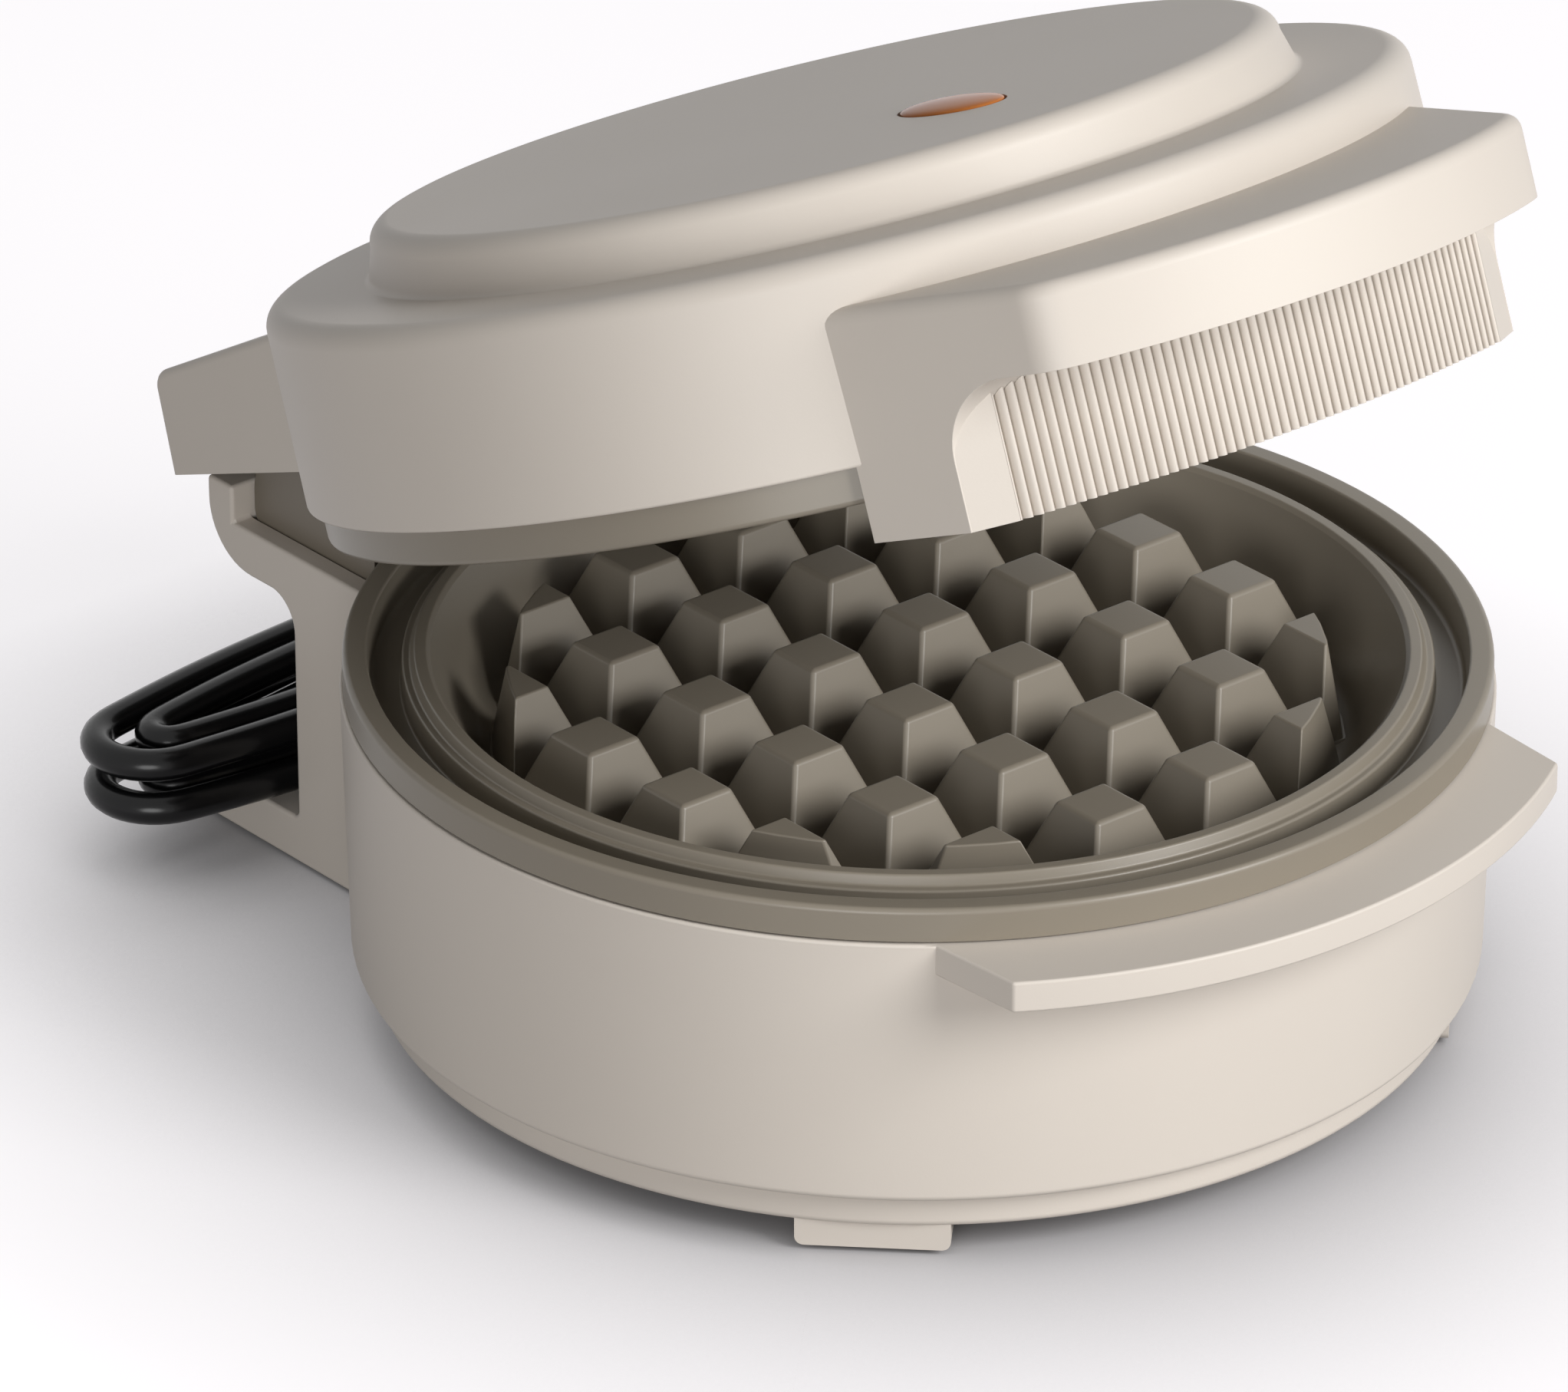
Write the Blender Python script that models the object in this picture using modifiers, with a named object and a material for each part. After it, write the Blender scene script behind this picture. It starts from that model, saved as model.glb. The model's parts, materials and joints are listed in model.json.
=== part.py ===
"""A mini Belgian waffle maker with its lid open and its cord wound behind it.

Every length is in metres and every height is above the ground. The pieces are
drawn about the drum's axis with the lid closed. The base pieces hang on the
empty base_frame, and the lid pieces on the empty lid_hinge, which stands on the
hinge's axis and opens the lid to the angle of the photograph.
"""
import math

import bmesh
import bpy
from mathutils import Matrix, Vector

# Fits that every piece shares
clearance = 0.0003
overrun = 0.003
round_steps = 48
fan_steps = 24
small_steps = 16
spoke_steps = 12
corner_steps = 6
arc_steps = 4

# Base drum
drum_radius = 0.0754
drum_draft = 0.0008
drum_wall = 0.0024
drum_bottom_z = 0.0095
drum_fillet = 0.0011
housing_top_z = 0.0468

# Lip in front of the drum, under the lid's handle
lip_reach = 0.0105
lip_radius = drum_radius + lip_reach
lip_thickness = 0.0043
lip_root_depth = 0.0054
lip_root_radius = drum_radius - lip_root_depth
lip_root_angle = math.radians(43.0)
lip_tip_angle = math.radians(32.6)

# Waffle plates, whose rims close on each other
plate_setback = 0.0004
plate_radius = drum_radius - plate_setback
upper_plate_setback = 0.0006
upper_plate_radius = plate_radius - upper_plate_setback
plate_wall = 0.0025
plate_skirt_depth = 0.0043
rim_height = 0.0048
rim_width = 0.0032
rim_fillet = 0.0008
moat_width = 0.0040
moat_draft = 0.0005
step_height = 0.0034
step_width = 0.0011
inner_ring_width = 0.0021
inner_ring_slope = 0.0006
cavity_radius = (
    plate_radius - rim_width - moat_draft - moat_width - step_width - inner_ring_slope - inner_ring_width
)
cavity_draft = 0.0065
cavity_floor_radius = cavity_radius - cavity_draft
cavity_depth = 0.0141
plate_gap = clearance

# Pyramids of the waffle pattern
pyramid_pitch = 0.01865
pyramid_groove = 0.00095
pyramid_base_width = pyramid_pitch - pyramid_groove
pyramid_draft = 0.0048
pyramid_top_width = pyramid_base_width - 2 * pyramid_draft
pyramid_height = 0.0119
pyramid_root = 0.0005
clip_inset = 0.0008
clip_base_radius = cavity_floor_radius - clip_inset
clip_draft = 0.0030
clip_top_radius = clip_base_radius - clip_draft

# Pieces under each plate
boss_radius = 0.0036
boss_inset = 0.0070
boss_circle_radius = cavity_floor_radius - boss_inset
boss_length = 0.0082
boss_count = 4
boss_first_angle = math.radians(45)
plate_screw_radius = 0.0013
plate_screw_reach = 0.0050
plate_screw_head_radius = 0.0028
plate_screw_head_height = 0.0015
element_radius = 0.0032
element_inset = 0.0100
element_circle_radius = boss_circle_radius - element_inset
element_half_angle = math.radians(150)
reflector_flare = 0.0035
reflector_radius = cavity_floor_radius + reflector_flare
reflector_thickness = 0.0008
reflector_hole_radius = 0.0110
thermostat_radius = 0.0080
thermostat_height = 0.0100
thermostat_cap_radius = 0.0055
thermostat_cap_height = 0.0040
fuse_radius = 0.0022
fuse_length = 0.0120

# Bottom cover, its feet and its screws
cover_setback = 0.0036
cover_radius = drum_radius - cover_setback
cover_wall = 0.0020
cover_drop = 0.0051
cover_bottom_z = drum_bottom_z - cover_drop
cover_rise = 0.0025
cover_top_z = drum_bottom_z + cover_rise
cover_chamfer = 0.0011
foot_count = 4
foot_first_angle = math.radians(45)
foot_tab_width = 0.0199
foot_tab_depth = 0.0105
foot_tab_height = 0.0036
foot_tab_bottom_z = cover_bottom_z - foot_tab_height
pad_radius = 0.0040
pad_height = 0.0018
pad_inset = 0.0064
pad_circle_radius = cover_radius - pad_inset
cover_screw_inset = 0.0053
cover_screw_circle_radius = cover_radius - cover_screw_inset
cover_screw_first_angle = math.radians(22.5)
cover_screw_radius = 0.0014
cover_screw_head_radius = 0.0026
cover_screw_head_height = 0.0016
cover_screw_length = 0.0150
cover_tower_radius = 0.0039
cover_boss_radius = 0.0068
cover_boss_height = 0.0120
terminal_block_size = (0.0240, 0.0100, 0.0100)
terminal_block_inset = 0.0314
terminal_block_y = drum_radius - terminal_block_inset
terminal_slot_width = 0.0040
terminal_slot_depth = 0.0050

# Pedestal behind the drum
pedestal_half_width = 0.0415
pedestal_wall = 0.0031
pedestal_root_depth = 0.0204
pedestal_front_y = drum_radius - pedestal_root_depth
pedestal_foot_z = 0.0006
pedestal_plate_top_z = 0.0074
pedestal_plate_reach = 0.0296
pedestal_plate_rear_y = drum_radius + pedestal_plate_reach
neck_reach = 0.0046
neck_rear_y = drum_radius + neck_reach
neck_fillet = 0.0050
bulge_reach = 0.0230
bulge_rear_y = drum_radius + bulge_reach
bulge_height = 0.0067
bulge_bottom_z = housing_top_z - bulge_height
bulge_fillet = 0.0090
tab_rise = 0.0053
tab_top_z = housing_top_z + tab_rise
tab_depth = 0.0054
recess_depth = 0.0024
port_width = 0.0100
port_height = 0.0080
port_x = 0.0250

# Hinge
open_angle = math.radians(21.05)
hinge_reach = 0.0123
hinge_y = drum_radius + hinge_reach
hinge_rise = 0.0045
hinge_z = housing_top_z + hinge_rise
tower_half_width = pedestal_half_width - pedestal_wall - clearance
tower_wall = 0.0036
tower_floor = 0.0021
tower_rear_wall_drop = 0.0039
tower_rear_wall_top_z = hinge_z - tower_rear_wall_drop
tower_corner_fillet = 0.0038
tower_top_fillet = 0.0060
tower_rise = 0.0127
tower_top_z = hinge_z + tower_rise
tower_front_top_run = 0.0127
tower_front_top_y = hinge_y - tower_front_top_run
tower_front_top_rise = 0.0107
tower_front_top_z = hinge_z + tower_front_top_rise
tower_front_low_run = 0.0187
tower_front_low_y = hinge_y - tower_front_low_run
tower_front_low_rise = 0.0042
tower_front_low_z = hinge_z + tower_front_low_rise
tower_rear_shoulder_run = 0.0038
tower_rear_shoulder_y = hinge_y + tower_rear_shoulder_run
tower_rear_shoulder_rise = 0.0077
tower_rear_shoulder_z = hinge_z + tower_rear_shoulder_rise
tower_rear_top_run = 0.0007
tower_rear_top_y = hinge_y - tower_rear_top_run
pin_radius = 0.0020
pin_seat_depth = 0.0026
pin_head_radius = 0.0034
pin_head_height = 0.0018
washer_radius = 0.0040
washer_thickness = 0.0014
arm_thickness = 0.0050
arm_boss_radius = 0.0040
arm_front_run = 0.0107
arm_front_y = hinge_y - arm_front_run
arm_rear_run = 0.0062
arm_rear_y = hinge_y - arm_rear_run
bracket_thickness = 0.0016
bracket_rear_run = 0.0058
bracket_rear_y = hinge_y + bracket_rear_run
bracket_front_y = arm_front_y

# Lid
lid_overhang = 0.0007
lid_radius = drum_radius + lid_overhang
lid_lift = 0.0100
lid_bottom_z = housing_top_z + lid_lift
lid_wall = 0.0024
lid_skirt_wall = 0.0014
lid_draft = 0.0004
lid_shoulder_radius = lid_radius - lid_draft
lid_side_height = 0.0234
lid_shoulder_z = lid_bottom_z + lid_side_height
lid_shoulder_fillet = 0.0030
lid_top_disc_inset = 0.0149
lid_top_disc_radius = lid_radius - lid_top_disc_inset
lid_top_disc_draft = 0.0010
lid_top_disc_fillet = 0.0030
lid_top_disc_foot = 0.0010
lid_top_rise = 0.0104
lid_top_z = lid_shoulder_z + lid_top_rise
lid_seat_width = 0.0035
lid_seat_thickness = 0.0020

# Lid handle: slanting flat sides, a curved front, and the deep arch under it
handle_side_angle = math.radians(40.601)
handle_side_inset = 0.0005
handle_side_x = (lid_radius - handle_side_inset) * math.sin(handle_side_angle)
handle_side_y = -(lid_radius - handle_side_inset) * math.cos(handle_side_angle)
handle_side_slant = math.radians(15.9)
handle_root_depth = 0.0050
handle_taper = 0.0087
handle_corner_x = handle_side_x - handle_taper
handle_corner_fillet = 0.0080
handle_front_radius = 0.0765
handle_reach = 0.0244
handle_front_centre_y = handle_front_radius - lid_radius - handle_reach
handle_rise = 0.0199
handle_top_z = lid_bottom_z + handle_rise
handle_bevel = 0.0020
leg_depth = 0.0150
visor_height = 0.0110
visor_bottom_z = handle_top_z - visor_height
arch_fillet = 0.0098

# Ribbed grip under the handle's arch
grip_side_gap = 0.0005
grip_half_width = handle_corner_x - grip_side_gap
grip_front_radius = 0.1224
grip_reach = 0.0058
grip_front_y = -lid_radius - grip_reach
grip_thickness = 0.0020
rib_depth = 0.0007
rib_count = 56

# Block behind the lid
block_overhang = 0.0031
block_half_width = pedestal_half_width + block_overhang
block_drop = 0.0001
block_bottom_z = lid_bottom_z - block_drop
block_root_depth = 0.0261
block_front_y = lid_radius - block_root_depth
block_rear_run = 0.0136
block_rear_bottom_y = hinge_y + block_rear_run
block_rear_draft = 0.0013
block_rear_top_y = block_rear_bottom_y - block_rear_draft
block_rear_height = 0.0128
block_rear_top_z = block_bottom_z + block_rear_height
block_edge_run = 0.0035
block_top_y = block_rear_top_y - block_edge_run
block_height = 0.0146
block_top_z = block_bottom_z + block_height
block_ridge_y = block_front_y
block_ridge_height = 0.0219
block_ridge_z = block_bottom_z + block_ridge_height
block_fillet = 0.0015

# Indicator lamp under an oval lens
lens_inset = 0.0332
lens_y = lens_inset - lid_top_disc_radius
lens_half_width = 0.0053
lens_half_length = 0.0086
lens_flange_width = 0.0018
lens_flange_thickness = 0.0014
lens_rise = 0.0009
lamp_radius = 0.0024
lamp_length = 0.0100

# Cord, its strain relief and its plug
cord_radius = 0.00225
gland_x = 0.0300
gland_z = 0.0275
gland_head_radius = 0.0048
gland_head_length = 0.0020
gland_neck_radius = 0.0034
gland_flange_radius = 0.0046
gland_flange_length = 0.0015
gland_root_radius = 0.0040
gland_tip_radius = 0.0030
gland_length = 0.0200
hank_left_x = -0.0532
hank_left_low_x = -0.0540
hank_right_x = 0.0320
hank_left_y = 0.0955
hank_right_y = 0.0980
hank_left_radius = 0.0078
hank_right_radius = 0.0125
hank_left_step = 0.0027
hank_pitch = 0.0052
hank_high_z = 0.0175
hank_low_z = 0.0103
hank_left_high_z = 0.0168
hank_left_low_z = 0.0112
hank_loops = 4
hank_loop_points = 24
hank_fold_points = 8
hank_first_point = 5
hank_drop_point = 52
hank_drop_points = 4
post_left_x = 0.0150
post_right_x = 0.0300
post_inset = 0.0084
post_y = pedestal_plate_rear_y - post_inset
post_thickness = 0.0026
post_top_z = 0.0232
post_bevel = 0.0008
plug_x = 0.0795
plug_neck_y = 0.1000
plug_z = 0.0072
plug_neck_length = 0.0110
plug_neck_radius = 0.0032
plug_neck_root_radius = 0.0055
plug_length = 0.0240
plug_width = 0.0200
plug_thickness = 0.0140
plug_bevel = 0.0025
blade_length = 0.0175
blade_root = 0.0040
blade_width = 0.0063
blade_thickness = 0.0015
blade_spacing = 0.0127
# The cord's free stretches, as points chosen by hand about the drum's axis
lead_route = (
    (0.0300, 0.1021, 0.0275),
    (0.0300, 0.1066, 0.0273),
    (0.0291, 0.1104, 0.0257),
    (0.0262, 0.1124, 0.0224),
    (0.0213, 0.1119, 0.0187),
    (0.0155, 0.1107, 0.0174),
    (0.0108, 0.1102, 0.0173),
)
tail_route = (
    (0.0472, 0.0983, 0.0103),
    (0.0483, 0.1029, 0.0103),
    (0.0500, 0.1080, 0.0100),
    (0.0534, 0.1134, 0.0094),
    (0.0586, 0.1173, 0.0087),
    (0.0649, 0.1186, 0.0082),
    (0.0712, 0.1166, 0.0078),
    (0.0758, 0.1123, 0.0074),
    (0.0785, 0.1083, 0.0072),
    (0.0795, 0.1047, 0.0072),
    (0.0795, 0.1000, 0.0072),
)
route_step = 0.0060

# Sizes that follow from the ones above
plate_skirt_z = housing_top_z - plate_skirt_depth
rim_top_z = housing_top_z + rim_height
mirror_z = rim_top_z + plate_gap / 2
floor_z = rim_top_z - cavity_depth
floor_back_z = floor_z - plate_wall
pyramid_top_z = floor_z + pyramid_height
boss_end_z = floor_back_z - boss_length
reflector_z = boss_end_z - clearance - reflector_thickness
element_z = floor_back_z - clearance - element_radius
cover_floor_z = cover_bottom_z + cover_wall
recess_z = housing_top_z - recess_depth
tower_inner_x = tower_half_width - tower_wall
washer_outer_x = tower_inner_x - clearance
arm_outer_x = washer_outer_x - washer_thickness - clearance
arm_inner_x = arm_outer_x - arm_thickness
base_rim_z = housing_top_z + clearance
drum_gap_radius = drum_radius + clearance
lid_gap_radius = lid_radius + clearance
plate_skirt_radius = drum_radius - drum_wall - clearance


def point_on(radius, angle):
    """A point in plan at an angle from the front, positive towards +X."""
    return (radius * math.sin(angle), -radius * math.cos(angle))


def arc(centre, radius, first, last, steps=arc_steps):
    """Points along an arc, from one angle to another."""
    turns = [first + (last - first) * i / steps for i in range(steps + 1)]
    return [(centre[0] + radius * math.cos(a), centre[1] + radius * math.sin(a)) for a in turns]


def rounded(corners, steps=arc_steps):
    """An outline's points; each corner is (a, b) or (a, b, fillet radius)."""
    outline = []
    for i, corner in enumerate(corners):
        here = Vector(corner[:2])
        if len(corner) == 2:
            outline.append(tuple(here))
            continue
        before = (Vector(corners[i - 1][:2]) - here).normalized()
        after = (Vector(corners[(i + 1) % len(corners)][:2]) - here).normalized()
        half = before.angle(after) / 2
        centre = here + (before + after).normalized() * corner[2] / math.sin(half)
        start = here + before * corner[2] / math.tan(half) - centre
        turn = math.pi - 2 * half
        if start.x * before.y - start.y * before.x > 0:
            turn = -turn
        for step in range(steps + 1):
            angle = turn * step / steps
            spun = Matrix.Rotation(angle, 2) @ start
            outline.append(tuple(centre + spun))
    return outline


def clear_scene():
    for old in list(bpy.data.objects):
        bpy.data.objects.remove(old, do_unlink=True)


def make_material(name, colour, roughness, metallic=0.0):
    material = bpy.data.materials.new(name)
    material.use_nodes = True
    shader = material.node_tree.nodes["Principled BSDF"]
    shader.inputs["Base Color"].default_value = (*colour, 1.0)
    shader.inputs["Roughness"].default_value = roughness
    shader.inputs["Metallic"].default_value = metallic
    return material


def finish_mesh(bm, name="shape"):
    """Turns a bmesh into an object whose faces point out."""
    bmesh.ops.remove_doubles(bm, verts=bm.verts, dist=clearance / 100)
    bmesh.ops.recalc_face_normals(bm, faces=bm.faces)
    mesh = bpy.data.meshes.new(name)
    bm.to_mesh(mesh)
    bm.free()
    shape = bpy.data.objects.new(name, mesh)
    bpy.context.scene.collection.objects.link(shape)
    return shape


def baked(shape):
    """Gives an object the mesh that its modifiers make, and drops them."""
    graph = bpy.context.evaluated_depsgraph_get()
    mesh = bpy.data.meshes.new_from_object(shape.evaluated_get(graph))
    shape.modifiers.clear()
    shape.data = mesh
    return shape


def combined(body, tool, operation):
    modifier = body.modifiers.new(operation.lower(), "BOOLEAN")
    modifier.operation = operation
    modifier.solver = "EXACT"
    modifier.object = tool
    baked(body)
    bpy.data.objects.remove(tool, do_unlink=True)
    return body


def cut(body, tool):
    return combined(body, tool, "DIFFERENCE")


def joined(body, tool):
    return combined(body, tool, "UNION")


def common(body, tool):
    return combined(body, tool, "INTERSECT")


def turned(profile, steps=round_steps, axis="Z", centre=(0.0, 0.0, 0.0)):
    """A solid of revolution from a profile of (radius, height) points, flat at both ends."""
    bm = bmesh.new()
    points = [bm.verts.new((radius, 0.0, height)) for radius, height in profile]
    for first, second in zip(points, points[1:]):
        bm.edges.new((first, second))
    mesh = bpy.data.meshes.new("profile")
    bm.to_mesh(mesh)
    bm.free()
    shape = bpy.data.objects.new("turned", mesh)
    bpy.context.scene.collection.objects.link(shape)
    screw = shape.modifiers.new("turn", "SCREW")
    screw.steps = steps
    screw.render_steps = steps
    screw.use_merge_vertices = True
    screw.merge_threshold = clearance / 100
    baked(shape)
    bm = bmesh.new()
    bm.from_mesh(shape.data)
    bpy.data.objects.remove(shape, do_unlink=True)
    bmesh.ops.remove_doubles(bm, verts=bm.verts, dist=clearance / 100)
    bmesh.ops.holes_fill(bm, edges=bm.edges, sides=0)
    turns = {"X": Matrix.Rotation(math.pi / 2, 4, "Y"), "Y": Matrix.Rotation(-math.pi / 2, 4, "X")}
    place = Matrix.Translation(centre) @ turns.get(axis, Matrix.Identity(4))
    bmesh.ops.transform(bm, matrix=place, verts=bm.verts)
    return finish_mesh(bm)


def rod(radius, low, high, centre=(0.0, 0.0), axis="Z", steps=small_steps, end_radius=None):
    """A cylinder or cone along an axis; centre holds the other two coordinates."""
    bm = bmesh.new()
    if end_radius is None:
        end_radius = radius
    bmesh.ops.create_cone(
        bm, cap_ends=True, segments=steps, radius1=radius, radius2=end_radius, depth=high - low
    )
    middle = (low + high) / 2
    if axis == "Z":
        place = Matrix.Translation((centre[0], centre[1], middle))
    elif axis == "Y":
        place = Matrix.Translation((centre[0], middle, centre[1])) @ Matrix.Rotation(-math.pi / 2, 4, "X")
    else:
        place = Matrix.Translation((middle, centre[0], centre[1])) @ Matrix.Rotation(math.pi / 2, 4, "Y")
    bmesh.ops.transform(bm, matrix=place, verts=bm.verts)
    return finish_mesh(bm)


def box(low, high, angle=0.0):
    """A block between two corners, turned about the drum's axis."""
    bm = bmesh.new()
    size = Vector(high) - Vector(low)
    middle = (Vector(high) + Vector(low)) / 2
    bmesh.ops.create_cube(bm, size=1.0)
    bmesh.ops.scale(bm, vec=size, verts=bm.verts)
    bmesh.ops.translate(bm, vec=middle, verts=bm.verts)
    bmesh.ops.rotate(bm, matrix=Matrix.Rotation(angle, 3, "Z"), verts=bm.verts)
    return finish_mesh(bm)


def softened(shape, width, segments=2, limit=math.radians(30)):
    """Rounds the sharp edges of a solid."""
    bevel = shape.modifiers.new("edges", "BEVEL")
    bevel.width = width
    bevel.segments = segments
    bevel.limit_method = "ANGLE"
    bevel.angle_limit = limit
    return baked(shape)


def prism(outline, low, high, axis="Z"):
    """A flat outline drawn out between two heights, or between two places on X or Y."""
    places = {
        "Z": lambda a, b: (a, b, low),
        "X": lambda a, b: (low, a, b),
        "Y": lambda a, b: (a, low, b),
    }
    way = {"Z": (0, 0, high - low), "X": (high - low, 0, 0), "Y": (0, high - low, 0)}[axis]
    bm = bmesh.new()
    face = bm.faces.new([bm.verts.new(places[axis](a, b)) for a, b in outline])
    drawn = bmesh.ops.extrude_face_region(bm, geom=[face])
    tops = [item for item in drawn["geom"] if isinstance(item, bmesh.types.BMVert)]
    bmesh.ops.translate(bm, vec=way, verts=tops)
    return finish_mesh(bm)


def shelf(root_radius, tip_radius, root_angle, tip_angle, low, high, steps=fan_steps):
    """A shelf in front of the drum: an arc in front and straight slanting ends."""
    angles = [tip_angle * (2 * i / steps - 1) for i in range(steps + 1)]
    outline = [point_on(tip_radius, a) for a in angles]
    outline += [point_on(root_radius, root_angle), point_on(root_radius, -root_angle)]
    return prism(outline, low, high)


def round_places(radius, count, first_angle):
    return [point_on(radius, first_angle + math.tau * i / count) for i in range(count)]


def smooth_route(points, step=route_step):
    """Points along the smooth curve through a route's own points."""
    ends = [2 * Vector(points[0]) - Vector(points[1]), 2 * Vector(points[-1]) - Vector(points[-2])]
    line = [ends[0]] + [Vector(p) for p in points] + [ends[1]]
    curve = [line[1]]
    for before, here, there, after in zip(line, line[1:], line[2:], line[3:]):
        count = max(1, round((there - here).length / step))
        for i in range(1, count + 1):
            t = i / count
            curve.append(
                (
                    2 * here
                    + (there - before) * t
                    + (2 * before - 5 * here + 4 * there - after) * t**2
                    + (3 * here - before - 3 * there + after) * t**3
                )
                / 2
            )
    return curve


def tube(points, radius, resolution=1):
    """A round tube along points, closed at both ends."""
    data = bpy.data.curves.new("tube", "CURVE")
    data.dimensions = "3D"
    data.bevel_depth = radius
    data.bevel_resolution = resolution
    data.use_fill_caps = True
    data.resolution_u = 1
    data.render_resolution_u = 0
    spline = data.splines.new("POLY")
    spline.points.add(len(points) - 1)
    for point, place in zip(spline.points, points):
        point.co = (*place, 1.0)
    guide = bpy.data.objects.new("tube", data)
    bpy.context.scene.collection.objects.link(guide)
    graph = bpy.context.evaluated_depsgraph_get()
    mesh = bpy.data.meshes.new_from_object(guide.evaluated_get(graph))
    bm = bmesh.new()
    bm.from_mesh(mesh)
    bpy.data.objects.remove(guide, do_unlink=True)
    return finish_mesh(bm)


class Builder:
    """Names the finished pieces and hangs them on the base or on the lid."""

    def __init__(self):
        self.parts = bpy.data.collections.new("mini_waffle_maker")
        bpy.context.scene.collection.children.link(self.parts)
        self.base = bpy.data.objects.new("base_frame", None)
        self.base.location = (0.0, axis_y, 0.0)
        self.lid = bpy.data.objects.new("lid_hinge", None)
        self.lid.location = (0.0, axis_y + hinge_y, hinge_z)
        self.lid.rotation_euler = (-open_angle, 0.0, 0.0)
        for empty in (self.base, self.lid):
            self.parts.objects.link(empty)

    def place(self, shape, name, material, on_lid=False):
        for collection in list(shape.users_collection):
            collection.objects.unlink(shape)
        self.parts.objects.link(shape)
        shape.name = name
        shape.data.name = name
        shape.data.materials.clear()
        shape.data.materials.append(material)
        shape.data.shade_smooth()
        shape.data.set_sharp_from_angle(angle=math.radians(30))
        if on_lid:
            shape.parent = self.lid
            shape.location = (0.0, -hinge_y, -hinge_z)
        else:
            shape.parent = self.base


def block_outline(inset=0.0, low=block_bottom_z):
    """The side outline of the block behind the lid."""
    return rounded(
        [
            (block_front_y, low),
            (block_rear_bottom_y - inset, low),
            (block_rear_top_y - inset, block_rear_top_z - inset / 2, block_fillet),
            (block_top_y - inset / 2, block_top_z - inset, block_fillet),
            (block_ridge_y, block_ridge_z - inset),
        ]
    )


def rear_reach():
    """How far the opened lid reaches behind the drum's axis."""
    return max(
        hinge_y + (y - hinge_y) * math.cos(open_angle) + (z - hinge_z) * math.sin(open_angle)
        for y, z in block_outline()
    )


axis_y = (lip_radius - rear_reach()) / 2


def block_ceiling(y):
    """Height of the lid block's inner top face above a place on Y."""
    run = (block_top_y - lid_wall / 2) - block_ridge_y
    slope = (block_top_z - block_ridge_z) / run
    return block_ridge_z - lid_wall + slope * (y - block_ridge_y)


def base_housing():
    foot = drum_radius - drum_draft
    inner = drum_radius - drum_wall
    profile = [(drum_radius, housing_top_z)]
    profile += arc((foot - drum_fillet, drum_bottom_z + drum_fillet), drum_fillet, 0, -math.pi / 2)
    profile += [(foot - drum_wall, drum_bottom_z), (inner, housing_top_z), (drum_radius, housing_top_z)]
    body = turned(profile)
    lip = shelf(
        lip_root_radius, lip_radius, lip_root_angle, lip_tip_angle,
        housing_top_z - lip_thickness, housing_top_z,
    )
    lip = cut(lip, rod(drum_radius - drum_wall / 3, 0.0, housing_top_z + overrun, steps=round_steps))
    body = joined(body, lip)
    low = cover_top_z + clearance
    for place in round_places(cover_screw_circle_radius, foot_count, cover_screw_first_angle):
        body = joined(body, rod(cover_boss_radius, low, low + cover_boss_height, place))
        hole = cover_screw_radius + clearance
        depth = cover_screw_length
        body = cut(body, rod(hole, low - overrun, cover_bottom_z + depth + overrun, place))
    port_low = (port_x - port_width / 2, inner / 2, pedestal_plate_top_z + port_height)
    port_high = (port_x + port_width / 2, drum_radius + overrun, port_low[2] + port_height)
    return cut(body, box(port_low, port_high))


def plate_profile(radius, rim_bottom_z, skirt_radius):
    """Half section of a waffle plate, from the floor's edge out and back underneath."""
    rim_inner = radius - rim_width
    moat_outer = rim_inner - moat_draft
    moat_inner = moat_outer - moat_width
    ring_outer = cavity_radius + inner_ring_width
    back_slope = cavity_floor_radius + plate_wall * 0.6
    rim_steps = arc((radius - rim_fillet, rim_top_z - rim_fillet), rim_fillet, math.pi / 2, 0, 2)
    return [
        (cavity_floor_radius, floor_z),
        (cavity_radius, rim_top_z - inner_ring_slope),
        (cavity_radius + inner_ring_slope, rim_top_z),
        (ring_outer, rim_top_z),
        (ring_outer + inner_ring_slope, housing_top_z + step_height),
        (ring_outer + inner_ring_slope + step_width, housing_top_z + step_height),
        (moat_inner, housing_top_z),
        (moat_outer, housing_top_z),
        (rim_inner, rim_top_z),
        *rim_steps,
        (radius, rim_bottom_z),
        (skirt_radius, rim_bottom_z),
        (skirt_radius, plate_skirt_z),
        (skirt_radius - plate_wall, plate_skirt_z),
        (skirt_radius - plate_wall, housing_top_z - plate_wall),
        (ring_outer + inner_ring_slope, housing_top_z - plate_wall),
        (back_slope, floor_back_z),
    ]


def pyramid(x, y):
    top = pyramid_top_width / math.sqrt(2)
    base = pyramid_base_width / math.sqrt(2)
    bm = bmesh.new()
    height = pyramid_height + pyramid_root
    bmesh.ops.create_cone(bm, cap_ends=True, segments=4, radius1=base, radius2=top, depth=height)
    bmesh.ops.rotate(bm, matrix=Matrix.Rotation(math.pi / 4, 3, "Z"), verts=bm.verts)
    bmesh.ops.translate(bm, vec=(x, y, pyramid_top_z - height / 2), verts=bm.verts)
    return bm


def pyramid_group(places):
    group = bmesh.new()
    for x, y in places:
        single = pyramid(x, y)
        mesh = bpy.data.meshes.new("pyramid")
        single.to_mesh(mesh)
        single.free()
        group.from_mesh(mesh)
    return finish_mesh(group)


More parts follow.
